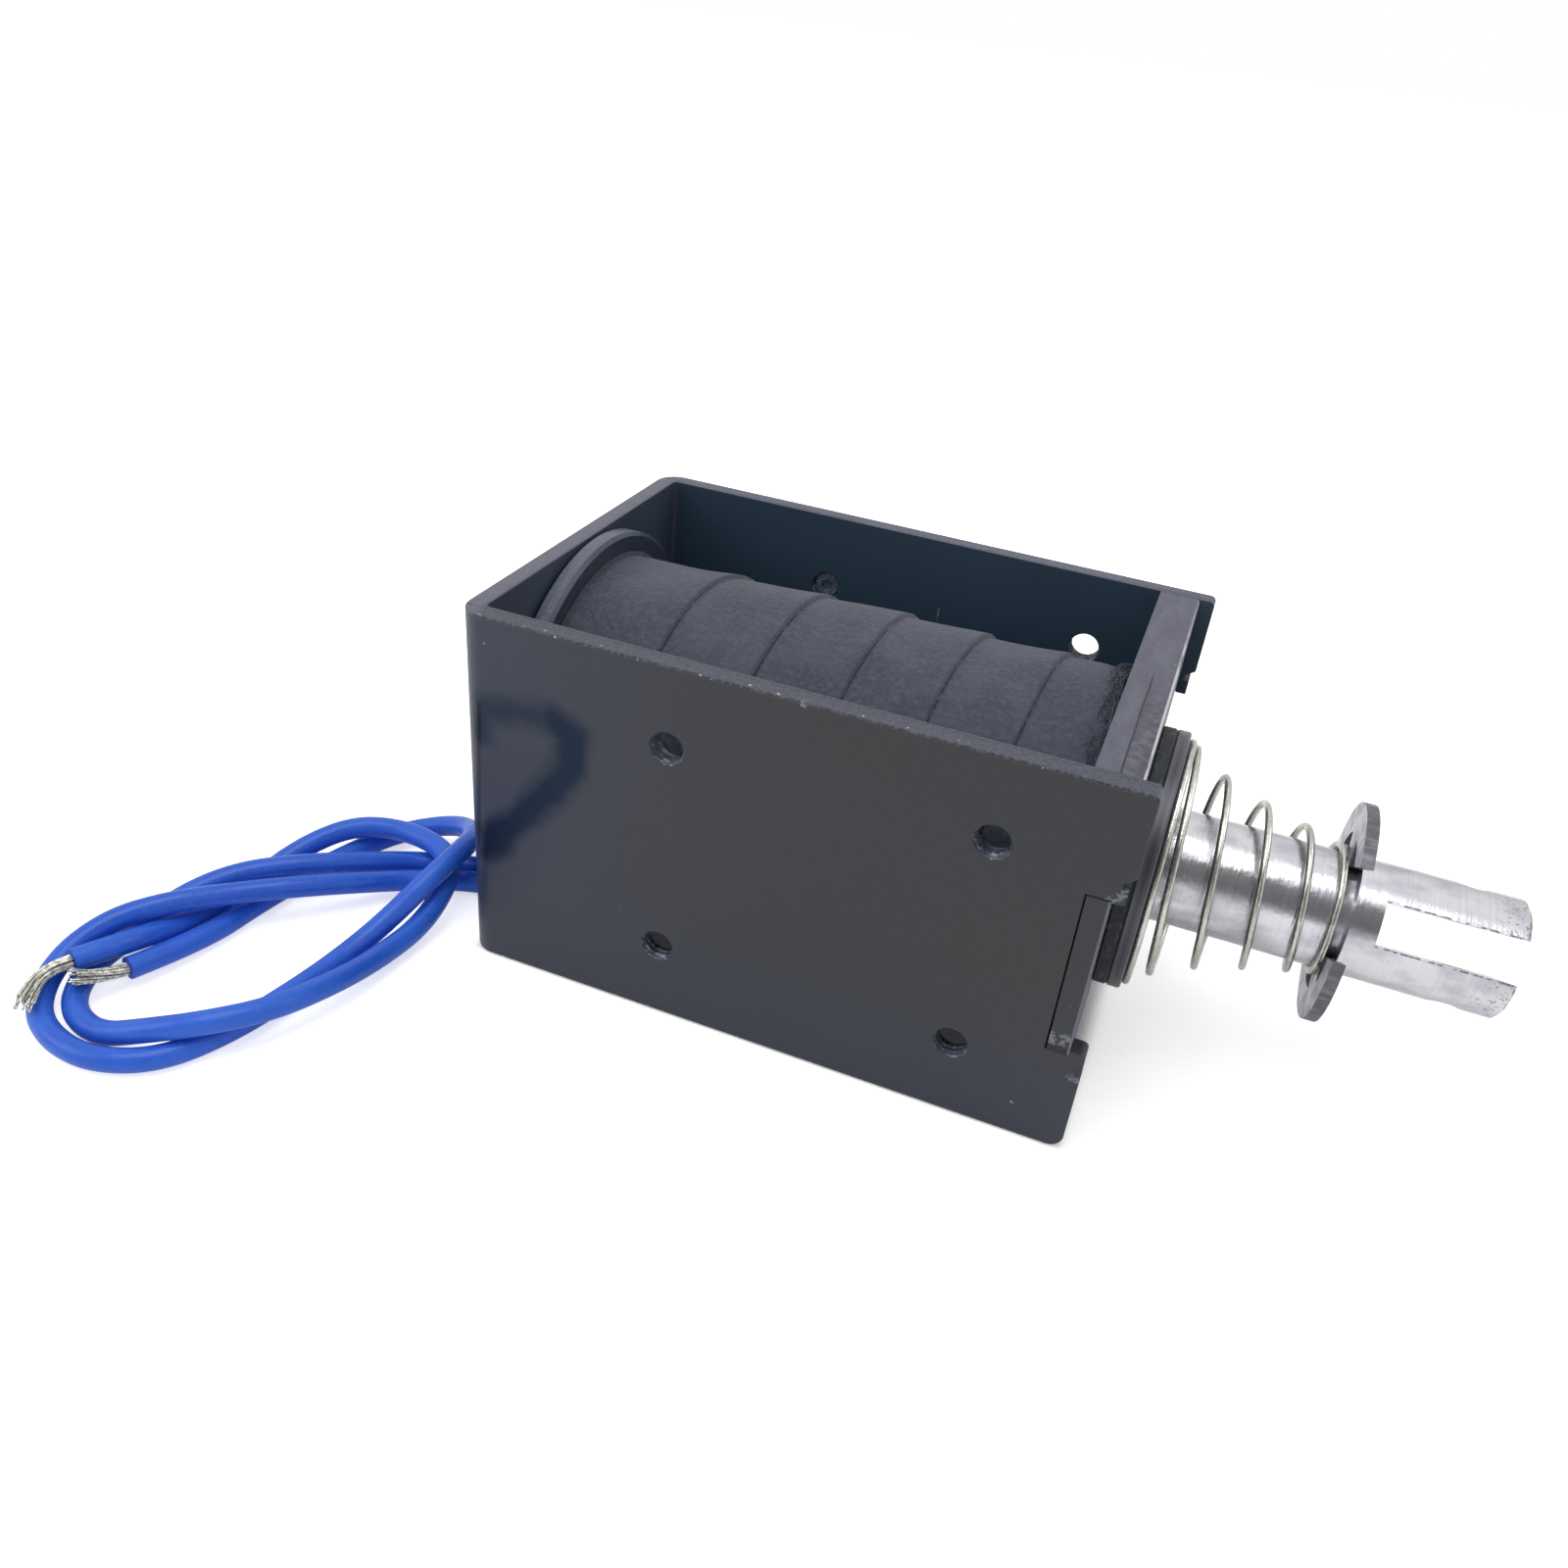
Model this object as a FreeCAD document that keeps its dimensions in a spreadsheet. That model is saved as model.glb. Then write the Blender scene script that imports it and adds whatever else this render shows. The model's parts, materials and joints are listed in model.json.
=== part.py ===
"""Open frame push pull solenoid with a forked plunger, a cone spring and two loose leads.

Millimetres. +X runs along the plunger towards its fork, +Z is up and the yoke stands on Z = 0.
Round pieces are drawn from the outer face of the yoke's back wall, on their own X axis, and
seat() then brings them to the plunger's height and to the origin under the middle of the part.
"""
import FreeCAD, Part
import Sketcher
import math
import os

SIZES = (
    ("frame_length", 78.0, "yoke, back wall to the front edges of its side walls"),
    ("frame_width", 54.0, "yoke, over both side walls"),
    ("frame_height", 48.0, "yoke, top and bottom are open"),
    ("sheet_thick", 2.5, "steel strip that the yoke is bent from"),
    ("bend_inner", 0.6, "inner radius of the two bends"),
    ("foot_round", 1.8, "rounding of the lower front corners of the side walls"),
    ("crown_round", 0.7, "rounding of the upper front corners of the side walls"),
    ("strip_edge_round", 0.25, "rolled outer edges of the stamped strip"),
    ("hole_first", 26.5, "back wall to the first column of tapped holes"),
    ("hole_pitch_long", 36.8, "tapped holes, spacing along the plunger"),
    ("hole_pitch_tall", 27.7, "tapped holes, spacing in height"),
    ("hole_radius", 2.1, "core of the M5 thread"),
    ("plate_thick", 2.5, "each of the two closing plates"),
    ("plate_recess", 1.85, "side wall edge to the face of the outer plate"),
    ("plate_play", 0.05, "plate to the wall or slot beside it"),
    ("plate_edge", 0.3, "filed front edges at the top and foot of the outer plate"),
    ("tab_height", 21.0, "side tabs of the outer plate"),
    ("tab_centre", 24.3, "middle of the side tabs above the base"),
    ("tab_gap_back", 0.22, "tab to the end of its slot"),
    ("tab_gap_top", 0.15, "tab to the upper side of its slot"),
    ("stake_width", 1.7, "finger of wall metal above and below each tab"),
    ("stake_lap_top", 0.2, "how far the upper finger is pushed over the tab"),
    ("stake_lap_low", 0.6, "how far the lower finger is pushed over the tab"),
    ("stake_back", 0.5, "wall edge to the tip of the upper finger"),
    ("stake_back_low", 0.05, "wall edge to the tip of the lower finger"),
    ("stake_round", 0.7, "corners of the lower finger's tip"),
    ("notch_depth", 1.2, "relief notch beyond each finger"),
    ("notch_height", 0.7, "straight bottom of that notch"),
    ("notch_slope", 0.9, "slope of that notch back to the wall edge"),
    ("lead_port_side", 14.1, "middle of the lead opening beside the centre line"),
    ("lead_port_width", 7.8, "lead opening in the foot of the back wall"),
    ("lead_port_height", 3.9, "height of that opening"),
    ("lead_port_round", 1.3, "its upper corners"),
    ("plunger_radius", 7.0, "plunger"),
    ("plunger_reach", 119.3, "back wall to the end of the fork"),
    ("plunger_chamfer", 0.5, "edge of the fork and of the cone's shoulder"),
    ("fork_depth", 14.9, "slot between the two prongs"),
    ("fork_gap", 5.0, "width of that slot"),
    ("fork_roll", 32.0, "degrees that the fork and the clip are turned about the plunger"),
    ("fork_pin_radius", 2.05, "cross hole through both prongs"),
    ("fork_pin_inset", 5.5, "end of the fork to the cross hole"),
    ("groove_radius", 5.65, "bottom of the clip's groove"),
    ("groove_width", 1.5, "clip's groove"),
    ("stroke", 10.0, "travel of the plunger"),
    ("seat_gap", 0.1, "left between the cone and its seat when pulled in"),
    ("nose_length", 5.5, "cone on the inner end of the plunger"),
    ("nose_radius", 3.0, "small end of the cone"),
    ("nose_shoulder", 0.5, "plunger radius less the large end of the cone"),
    ("pole_length", 25.0, "fixed pole, from the back wall inwards"),
    ("spigot_radius", 5.0, "neck of the pole in the back wall"),
    ("rivet_radius", 6.3, "spun head of that neck"),
    ("rivet_height", 0.9, "spun head outside the wall"),
    ("rod_radius", 2.0, "push rod"),
    ("rod_depth", 9.0, "rod pressed into the plunger"),
    ("rod_proud", 3.0, "rod standing out of the spun head at rest"),
    ("rod_chamfer", 0.6, "end of the rod"),
    ("slide_fit", 0.05, "running clearance on a radius"),
    ("tube_wall", 0.45, "guide tube"),
    ("hub_wall", 1.5, "bobbin hub"),
    ("rear_flange_inset", 0.1, "rim of the rear flange to the edges of the yoke"),
    ("rear_flange", 2.6, "its thickness"),
    ("rear_flange_bevel", 0.5, "both edges of its rim"),
    ("front_flange_radius", 20.1, "bobbin flange behind the closing plates"),
    ("front_flange", 2.4, "its thickness"),
    ("winding_radius", 19.7, "copper winding"),
    ("film_thick", 0.35, "insulating film over the winding"),
    ("tape_radius", 21.6, "cloth tape over the film"),
    ("tape_edge", 0.4, "tape short of the closing plates"),
    ("patch_radius", 25.1, "short tape over the lead joints"),
    ("patch_start", 22.0, "back wall to that tape"),
    ("patch_length", 18.0, "its length"),
    ("patch_angle", 33.0, "degrees that it spans round the coil"),
    ("joint_radius", 1.6, "sleeve over each soldered joint"),
    ("joint_length", 14.0, "its length"),
    ("joint_angle_inner", 31.0, "degrees from straight down to the inner joint"),
    ("joint_angle_outer", 41.5, "degrees from straight down to the outer joint"),
    ("washer_radius", 16.0, "both washers on the outer plate"),
    ("washer_play", 0.4, "plunger to the bore of the washers"),
    ("cushion_thick", 1.7, "fibre cushion washer"),
    ("seat_thick", 1.65, "hard washer that the spring sits on"),
    ("washer_bevel", 0.2, "outer edges of both washers"),
    ("spring_free", 20.4, "return spring, hard washer to clip"),
    ("spring_wire", 0.88, "wire diameter"),
    ("spring_base_radius", 14.9, "wire centre in the large end coil"),
    ("spring_turns", 6.0, "turns from end to end"),
    ("spring_dead_turns", 0.8, "closed turn at each end"),
    ("spring_flare", 0.34, "share of the cone that only the coils near the large end take"),
    ("spring_taper", 5.0, "how quickly that share dies away"),
    ("spring_ease", 0.35, "share of the climb that starts and ends softly"),
    ("spring_first_angle", 61.0, "degrees at which the large coil starts"),
    ("clip_radius", 13.1, "retaining clip"),
    ("clip_thick", 1.4, "its thickness"),
    ("clip_band", 3.6, "width of its ring"),
    ("clip_mouth", 10.6, "its opening"),
    ("clip_tooth", 5.4, "its middle tooth"),
    ("clip_ear", 4.2, "length of the ears along the mouth"),
    ("clip_ear_round", 2.2, "outer corners of the ears"),
    ("clip_hold", 0.03, "teeth to the bottom of the groove"),
    ("lead_diameter", 2.9, "insulated lead"),
    ("lead_straight", 7.0, "lead in line with its joint"),
    ("strand_diameter", 1.9, "twisted strands where a lead is stripped"),
)

# Each lead from the inside of its port round the bundle to its stripped end, and then its bare strands.
# It comes to the port from its joint under the tape, which lead_route() adds.
LEAD_A_ROUTE = (
    (7.0, -12.4, 1.5), (-4.5, -12.6, 1.5),
    (-14.0, -15.8, 1.5), (-19.6, -21.8, 3.4), (-25.5, -27.9, 4.8), (-31.2, -33.4, 5.0),
    (-35.2, -39.6, 3.6), (-36.8, -46.4, 1.5), (-36.7, -53.2, 1.5), (-33.2, -59.2, 1.5),
    (-27.2, -61.2, 1.5), (-21.2, -59.9, 3.6), (-15.2, -57.5, 5.2), (-10.5, -52.0, 4.8),
    (-8.1, -44.4, 3.6), (-7.3, -36.2, 2.0), (-6.2, -28.0, 2.2), (-6.8, -20.8, 4.7),
    (-11.0, -16.0, 4.9), (-18.0, -14.8, 4.9), (-24.6, -17.0, 4.9), (-29.2, -22.3, 3.2),
    (-31.2, -29.3, 1.5), (-31.7, -36.5, 1.5), (-32.2, -43.2, 2.7), (-33.1, -49.6, 4.6),
    (-35.8, -55.3, 4.8),
)
LEAD_B_ROUTE = (
    (7.0, -15.7, 1.5), (-4.5, -15.8, 1.5),
    (-13.0, -20.0, 1.5), (-18.0, -26.5, 3.5), (-23.5, -32.5, 4.8), (-28.8, -37.8, 5.3),
    (-32.8, -43.2, 6.2), (-37.0, -48.4, 5.6), (-39.3, -54.6, 3.2), (-36.7, -60.8, 1.5),
    (-31.0, -63.9, 1.5), (-24.6, -64.4, 1.5), (-18.4, -61.3, 1.5), (-14.8, -54.4, 1.5),
    (-12.8, -46.0, 1.5), (-11.6, -38.0, 1.5), (-9.8, -31.0, 3.2), (-7.0, -24.8, 7.2),
    (-6.2, -18.4, 8.1), (-7.8, -13.2, 6.7), (-11.8, -9.8, 4.7), (-17.0, -9.2, 2.6),
    (-21.4, -11.8, 1.5), (-23.8, -17.0, 1.5), (-26.0, -25.0, 1.5), (-27.8, -33.5, 1.5),
    (-28.7, -42.6, 1.5), (-31.6, -51.7, 2.5),
)
LEAD_A_STRANDS = ((-35.8, -55.3, 4.8), (-36.83, -57.47, 4.876), (-36.75, -60.3, 4.6), (-35.0, -63.5, 4.0))
LEAD_B_STRANDS = ((-31.6, -51.7, 2.5), (-32.32, -53.97, 2.75), (-34.0, -57.6, 4.4))


class Size:
    """A length with its present number and the sheet formula that it follows."""

    def __init__(self, number, formula):
        self.number = number
        self.formula = formula

    def __add__(self, other):
        other = as_size(other)
        return Size(self.number + other.number, f"({self.formula} + {other.formula})")

    def __sub__(self, other):
        other = as_size(other)
        return Size(self.number - other.number, f"({self.formula} - {other.formula})")

    def __mul__(self, other):
        other = as_size(other)
        return Size(self.number * other.number, f"({self.formula} * {other.formula})")

    def __truediv__(self, divisor):
        return Size(self.number / divisor, f"({self.formula} / {divisor})")

    def __neg__(self):
        return Size(-self.number, f"(-1 * {self.formula})")

    def sine(self):
        """Sine of an angle in degrees."""
        return Size(math.sin(math.radians(self.number)), f"sin({self.formula} * 1 deg)")

    def cosine(self):
        """Cosine of an angle in degrees."""
        return Size(math.cos(math.radians(self.number)), f"cos({self.formula} * 1 deg)")


def as_size(value):
    """A plain number as a size that follows nothing."""
    return value if isinstance(value, Size) else Size(float(value), f"{float(value)}")


doc = FreeCAD.newDocument("push_pull_solenoid")


def fill_sheet():
    """Write every driving size into the sheet, one row each, and name its cell."""
    sheet = doc.addObject("Spreadsheet::Sheet", "Sizes")
    for row, (alias, value, meaning) in enumerate(SIZES, start=1):
        sheet.set(f"A{row}", alias)
        sheet.set(f"B{row}", str(value))
        sheet.set(f"C{row}", meaning)
        sheet.setAlias(f"B{row}", alias)
    doc.recompute()
    return sheet


sizes = fill_sheet()


def size(alias):
    """One driving size from the sheet."""
    return Size(float(sizes.get(alias)), f"Sizes.{alias}")


# Derived places along the plunger, from the outer face of the back wall
frame_length = size("frame_length")
frame_width = size("frame_width")
frame_height = size("frame_height")
sheet_thick = size("sheet_thick")
plate_thick = size("plate_thick")
plate_play = size("plate_play")
slide_fit = size("slide_fit")
plunger_radius = size("plunger_radius")
plunger_reach = size("plunger_reach")
wall_inner = frame_width / 2 - sheet_thick
plate_front = frame_length - size("plate_recess")
plate_back = plate_front - plate_thick * 2
slot_top = size("tab_centre") + size("tab_height") / 2 + size("tab_gap_top")
slot_low = size("tab_centre") - size("tab_height") / 2 - plate_play
washer_front = plate_front + size("cushion_thick") + size("seat_thick")
clip_back = washer_front + size("spring_free")
clip_play = (size("groove_width") - size("clip_thick")) / 2
groove_back = clip_back - clip_play
pole_front = sheet_thick + size("pole_length")
nose_large = plunger_radius - size("nose_shoulder")
nose_tip = pole_front - size("nose_length") + size("stroke") + size("seat_gap")
rod_end = -size("rivet_height") - size("rod_proud")
tube_radius = plunger_radius + slide_fit + size("tube_wall")
hub_radius = tube_radius + slide_fit + size("hub_wall")
rear_flange_radius = frame_height / 2 - size("rear_flange_inset")
film_radius = size("winding_radius") + slide_fit + size("film_thick")
joint_circle = size("tape_radius") + slide_fit + size("joint_radius")
joint_start = size("patch_start") + size("patch_length") - size("joint_length")
patch_turn = (size("joint_angle_inner") + size("joint_angle_outer")) / 2
middle = (plunger_reach + rod_end) / 2


def new_body(name):
    """An empty body that carries the name of its piece."""
    body = doc.addObject("PartDesign::Body", name)
    body.Label = name
    return body


def new_sketch(body, name, role):
    """A sketch on one of the body's own origin planes."""
    sketch = body.newObject("Sketcher::SketchObject", name)
    plane = next(item for item in body.Origin.OriginFeatures if item.Role == role)
    sketch.AttachmentSupport = [(plane, "")]
    sketch.MapMode = "FlatFace"
    return sketch


def hold_point(sketch, element, corner, across, up):
    """Hold a point of a sketch at two bound distances from its origin, or on its upright or level axis."""
    for kind, axis, place in (("DistanceX", -2, across), ("DistanceY", -1, up)):
        if place.number == 0:
            sketch.addConstraint(Sketcher.Constraint("PointOnObject", element, corner, axis))
        else:
            rule = Sketcher.Constraint(kind, -1, 1, element, corner, place.number)
            index = sketch.addConstraint(rule)
            sketch.setExpression(f"Constraints[{index}]", place.formula)


def draw_outline(sketch, corners):
    """A closed outline of straight lines through corners given as (across, up)."""
    corners = [(as_size(across), as_size(up)) for across, up in corners]
    spots = [FreeCAD.Vector(across.number, up.number, 0) for across, up in corners]
    first = sketch.GeometryCount
    count = len(spots)
    for index in range(count):
        sketch.addGeometry(Part.LineSegment(spots[index], spots[(index + 1) % count]), False)
    for index in range(count):
        following = first + (index + 1) % count
        sketch.addConstraint(Sketcher.Constraint("Coincident", first + index, 2, following, 1))
    for index, (across, up) in enumerate(corners):
        hold_point(sketch, first + index, 1, across, up)


def draw_circle(sketch, across, up, radius):
    """A circle with its centre and radius bound."""
    across, up = as_size(across), as_size(up)
    centre = FreeCAD.Vector(across.number, up.number, 0)
    ring = sketch.addGeometry(Part.Circle(centre, FreeCAD.Vector(0, 0, 1), radius.number), False)
    hold_point(sketch, ring, 3, across, up)
    index = sketch.addConstraint(Sketcher.Constraint("Radius", ring, radius.number))
    sketch.setExpression(f"Constraints[{index}]", radius.formula)


def bind(item, name, value):
    """Tie one property of an object to the sheet."""
    value = as_size(value)
    item.setExpression(name, value.formula)


def pad(body, name, sketch, length, symmetric=False):
    """Add the sketch's outline, to one side of its plane or to both."""
    feature = body.newObject("PartDesign::Pad", name)
    feature.Profile = sketch
    feature.SideType = "Symmetric" if symmetric else "One side"
    bind(feature, "Length", length)
    return feature


def pocket(body, name, sketch, length=None, forward=False):
    """Cut the sketch's outline through everything, or to a depth, and check that it cut."""
    before = volume_of(body)
    feature = body.newObject("PartDesign::Pocket", name)
    feature.Profile = sketch
    if length is None:
        feature.Type = "ThroughAll"
        feature.SideType = "Symmetric"
    else:
        bind(feature, "Length", length)
        feature.Reversed = forward
    if volume_of(body) >= before:
        raise ValueError(f"{name} cut nothing")
    return feature


def volume_of(body):
    """Volume of the body as it now stands."""
    doc.recompute()
    return body.Shape.Volume


def turn(body, name, corners, angle=None):
    """Turn a half section, given as (along X, radius), about the body's X axis."""
    sketch = new_sketch(body, name + "_section", "XZ_Plane")
    draw_outline(sketch, corners)
    feature = body.newObject("PartDesign::Revolution", name)
    feature.Profile = sketch
    feature.ReferenceAxis = (sketch, ["H_Axis"])
    if angle is not None:
        feature.Midplane = True
        bind(feature, "Angle", angle)
    doc.recompute()
    return feature


def edges_where(shape, test):
    """Names of the edges whose middle point, direction and curve pass a test."""
    names = []
    for number, edge in enumerate(shape.Edges, start=1):
        point = edge.valueAt((edge.FirstParameter + edge.LastParameter) / 2)
        start, end = edge.valueAt(edge.FirstParameter), edge.valueAt(edge.LastParameter)
        if test(point, end - start, edge):
            names.append(f"Edge{number}")
    return names


def round_edges(body, name, radius, test, kind="Fillet"):
    """Fillet or chamfer every edge of the body's last feature that passes a test."""
    doc.recompute()
    last = body.Tip
    feature = body.newObject(f"PartDesign::{kind}", name)
    feature.Base = (last, edges_where(last.Shape, test))
    bind(feature, "Radius" if kind == "Fillet" else "Size", radius)
    doc.recompute()
    return feature


def near(first, second):
    """Whether two places are the same."""
    return abs(first - second) < 1e-4


def seat(piece, height=None, roll=None):
    """Bring a piece from the back wall's frame to the part's origin, turned about X if asked."""
    bind(piece, "Placement.Base.x", -middle)
    if height is not None:
        bind(piece, "Placement.Base.z", height)
    if roll is not None:
        piece.setExpression("Placement.Rotation", f"rotation(vector(1; 0; 0); {(-roll).formula})")


def make_yoke():
    """Bent strip: a back wall, two side walls, and fingers staked over the plate's tabs."""
    body = new_body("yoke")
    half = frame_width / 2
    section = new_sketch(body, "yoke_section", "XY_Plane")
    draw_outline(section, (
        (0, -half), (frame_length, -half), (frame_length, -wall_inner), (sheet_thick, -wall_inner),
        (sheet_thick, wall_inner), (frame_length, wall_inner), (frame_length, half), (0, half),
    ))
    pad(body, "yoke_strip", section, frame_height)

    def is_bend(reach, side):
        return lambda point, way, edge: near(point.x, reach) and near(abs(point.y), side) and abs(way.z) > 1

    inner = size("bend_inner")
    round_edges(body, "bend_outside", inner + sheet_thick, is_bend(0, half.number))
    round_edges(body, "bend_inside", inner, is_bend(sheet_thick.number, wall_inner.number))

    finger = size("stake_width")
    tip = frame_length - size("stake_back")
    tip_low = frame_length - size("stake_back_low")
    notch = frame_length - size("notch_depth")
    face = plate_front + plate_play
    rise = finger + size("notch_height")
    slope = size("notch_slope")
    lap_top = slot_top - size("stake_lap_top")
    lap_low = slot_low + size("stake_lap_low")
    beyond = frame_length + 1
    slot_end = plate_front - plate_thick - size("tab_gap_back")
    front = new_sketch(body, "yoke_front", "XZ_Plane")
    draw_outline(front, (
        (beyond, slot_top + rise + slope), (frame_length, slot_top + rise + slope),
        (notch, slot_top + rise), (notch, slot_top + finger), (tip, slot_top + finger),
        (tip, lap_top), (face, lap_top), (face, slot_top), (slot_end, slot_top),
        (slot_end, slot_low), (face, slot_low), (face, lap_low), (tip_low, lap_low),
        (tip_low, slot_low - finger), (notch, slot_low - finger), (notch, slot_low - rise),
        (frame_length, slot_low - rise - slope), (beyond, slot_low - rise - slope),
    ))
    pocket(body, "tab_slots", front)

    holes = new_sketch(body, "yoke_holes", "XZ_Plane")
    for column in range(2):
        for side in (-0.5, 0.5):
            along = size("hole_first") + size("hole_pitch_long") * column
            draw_circle(holes, along, frame_height / 2 + size("hole_pitch_tall") * side, size("hole_radius"))
    pocket(body, "tapped_holes", holes)

    neck = new_sketch(body, "yoke_neck", "YZ_Plane")
    draw_circle(neck, 0, frame_height / 2, size("spigot_radius"))
    pocket(body, "pole_hole", neck, sheet_thick, forward=True)

    port = new_sketch(body, "yoke_port", "YZ_Plane")
    side, reach = size("lead_port_side"), size("lead_port_width") / 2
    height = size("lead_port_height")
    draw_outline(port, (
        (-side - reach, -1), (-side + reach, -1), (-side + reach, height), (-side - reach, height),
    ))
    pocket(body, "lead_port", port, sheet_thick, forward=True)

    def is_port_corner(point, way, edge):
        return near(point.z, height.number) and abs(way.x) > 1 and near(abs(way.x), way.Length)

    def is_front_corner(level):
        return lambda point, way, edge: (near(point.x, frame_length.number) and near(point.z, level)
                                         and near(abs(way.y), sheet_thick.number))

    round_edges(body, "lead_port_corners", size("lead_port_round"), is_port_corner)
    round_edges(body, "wall_feet", size("foot_round"), is_front_corner(0))
    round_edges(body, "wall_crowns", size("crown_round"), is_front_corner(frame_height.number))

    def is_finger_corner(point, way, edge):
        across = near(abs(way.y), sheet_thick.number) and near(point.x, tip_low.number)
        return across and (near(point.z, lap_low.number) or near(point.z, (slot_low - finger).number))

    round_edges(body, "finger_corners", size("stake_round"), is_finger_corner)

    def is_outer_rim(point, way, edge):
        outside = near(abs(point.y), half.number) or near(point.x, 0)
        return outside and near(abs(way.z), 0) and near(abs(point.z - frame_height.number / 2),
                                                        frame_height.number / 2)

    round_edges(body, "strip_rims", size("strip_edge_round"), is_outer_rim)
    seat(body)
    return body


def make_plate(name, with_tabs):
    """Flat closing plate with a hole for the guide tube, and with side tabs if it is the outer one."""
    body = new_body(name)
    back = plate_front - plate_thick if with_tabs else plate_back
    edge, half, play = wall_inner - plate_play, frame_width / 2, plate_play
    high, low = slot_top - size("tab_gap_top"), slot_low + play
    outline = new_sketch(body, name + "_outline", "YZ_Plane")
    bind(outline, "AttachmentOffset.Base.z", back)
    if with_tabs:
        corners = (
            (-edge, 0), (edge, 0), (edge, low), (half, low), (half, high), (edge, high),
            (edge, frame_height), (-edge, frame_height), (-edge, high), (-half, high),
            (-half, low), (-edge, low),
        )
    else:
        corners = ((-edge, 0), (edge, 0), (edge, frame_height), (-edge, frame_height))
    draw_outline(outline, corners)
    pad(body, name + "_sheet", outline, plate_thick)
    hole = new_sketch(body, name + "_hole", "YZ_Plane")
    bind(hole, "AttachmentOffset.Base.z", back)
    draw_circle(hole, 0, frame_height / 2, tube_radius + slide_fit)
    pocket(body, name + "_bore", hole, plate_thick, forward=True)
    if with_tabs:
        def is_filed(point, way, edge):
            end = near(point.z, 0) or near(point.z, frame_height.number)
            return near(point.x, plate_front.number) and end

        round_edges(body, name + "_filed_edge", size("plate_edge"), is_filed, kind="Chamfer")
    seat(body)
    return body


def make_turned(name, corners):
    """A round piece turned about the plunger's axis."""
    body = new_body(name)
    turn(body, name + "_turned", corners)
    seat(body, frame_height / 2)
    return body


def ring_section(start, end, inner, outer):
    """Half section of a plain ring."""
    return ((start, inner), (end, inner), (end, outer), (start, outer))


def make_fixed_pole():
    """Iron pole: spun head and neck in the back wall, a conical seat inside, bored for the rod."""
    bore = size("rod_radius") + slide_fit
    neck, head = size("spigot_radius"), size("rivet_radius")
    cone_start = pole_front - size("nose_length")
    return make_turned("fixed_pole", (
        (-size("rivet_height"), bore), (cone_start, bore), (cone_start, size("nose_radius")),
        (pole_front, nose_large), (pole_front, plunger_radius), (sheet_thick, plunger_radius),
        (sheet_thick, neck), (0, neck), (0, head), (-size("rivet_height"), head),
    ))


def make_bobbin():
    """Moulded spool: a hub, a wide flange at the back wall and a narrower one at the front."""
    bore = tube_radius + slide_fit
    start, end = sheet_thick + slide_fit, plate_back - slide_fit
    rear, front = start + size("rear_flange"), end - size("front_flange")
    bevel = size("rear_flange_bevel")
    return make_turned("bobbin", (
        (start, bore), (end, bore), (end, size("front_flange_radius")),
        (front, size("front_flange_radius")), (front, hub_radius), (rear, hub_radius),
        (rear, rear_flange_radius - bevel), (rear - bevel, rear_flange_radius),
        (start + bevel, rear_flange_radius), (start, rear_flange_radius - bevel),
    ))


def make_lead_patch():
    """Short piece of tape that holds the two sleeved joints down on the coil."""
    body = new_body("lead_tape_patch")
    start, end = size("patch_start"), size("patch_start") + size("patch_length")
    inner = size("tape_radius") + slide_fit
    turn(body, "patch_tape", ring_section(start, end, inner, size("patch_radius")), size("patch_angle"))
    for name in ("inner", "outer"):
        swing = size(f"joint_angle_{name}") - patch_turn
        tunnel = new_sketch(body, f"tunnel_{name}", "YZ_Plane")
        radius = size("joint_radius") + slide_fit
        draw_circle(tunnel, joint_circle * swing.sine(), joint_circle * swing.cosine(), radius)
        pocket(body, f"tunnel_{name}_cut", tunnel)
    seat(body, frame_height / 2, patch_turn + 180)
    return body


def make_joint(name, angle):
    """Sleeved solder joint between a lead and the winding, lying along the coil."""
    body = new_body(name)
    outline = new_sketch(body, name + "_outline", "YZ_Plane")
    bind(outline, "AttachmentOffset.Base.z", joint_start)
    draw_circle(outline, 0, joint_circle, size("joint_radius"))
    pad(body, name + "_sleeve", outline, size("joint_length"))
    seat(body, frame_height / 2, angle + 180)
    return body


def make_plunger():
    """Turned plunger: a cone at its inner end, a groove for the clip and a slotted fork."""
    body = new_body("plunger")
    rod, edge = size("rod_radius"), size("plunger_chamfer")
    groove = size("groove_radius")
    groove_front = groove_back + size("groove_width")
    shoulder = nose_tip + size("nose_length")
    rod_seat = nose_tip + size("rod_depth")
    turn(body, "plunger_turned", (
        (rod_seat, 0), (plunger_reach, 0), (plunger_reach, plunger_radius - edge),
        (plunger_reach - edge, plunger_radius), (groove_front, plunger_radius), (groove_front, groove),
        (groove_back, groove), (groove_back, plunger_radius),
        (shoulder + size("nose_shoulder"), plunger_radius), (shoulder, nose_large),
        (nose_tip, size("nose_radius")), (nose_tip, rod), (rod_seat, rod),
    ))
    slot = new_sketch(body, "fork_slot", "XZ_Plane")
    half = size("fork_gap") / 2
    start, beyond = plunger_reach - size("fork_depth"), plunger_reach + 1
    draw_outline(slot, ((start, -half), (beyond, -half), (beyond, half), (start, half)))
    pocket(body, "fork_slot_cut", slot)
    hole = new_sketch(body, "fork_pin_hole", "XY_Plane")
    draw_circle(hole, plunger_reach - size("fork_pin_inset"), 0, size("fork_pin_radius"))
    pocket(body, "fork_pin_hole_cut", hole)
    seat(body, frame_height / 2, size("fork_roll"))
    return body


def make_push_rod():
    """Rod pressed into the plunger's cone, through the pole and out of the back wall."""
    radius, bevel = size("rod_radius"), size("rod_chamfer")
    end = nose_tip + size("rod_depth")
    return make_turned("push_rod", (
        (rod_end, 0), (end, 0), (end, radius), (rod_end + bevel, radius), (rod_end, radius - bevel),
    ))


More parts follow.
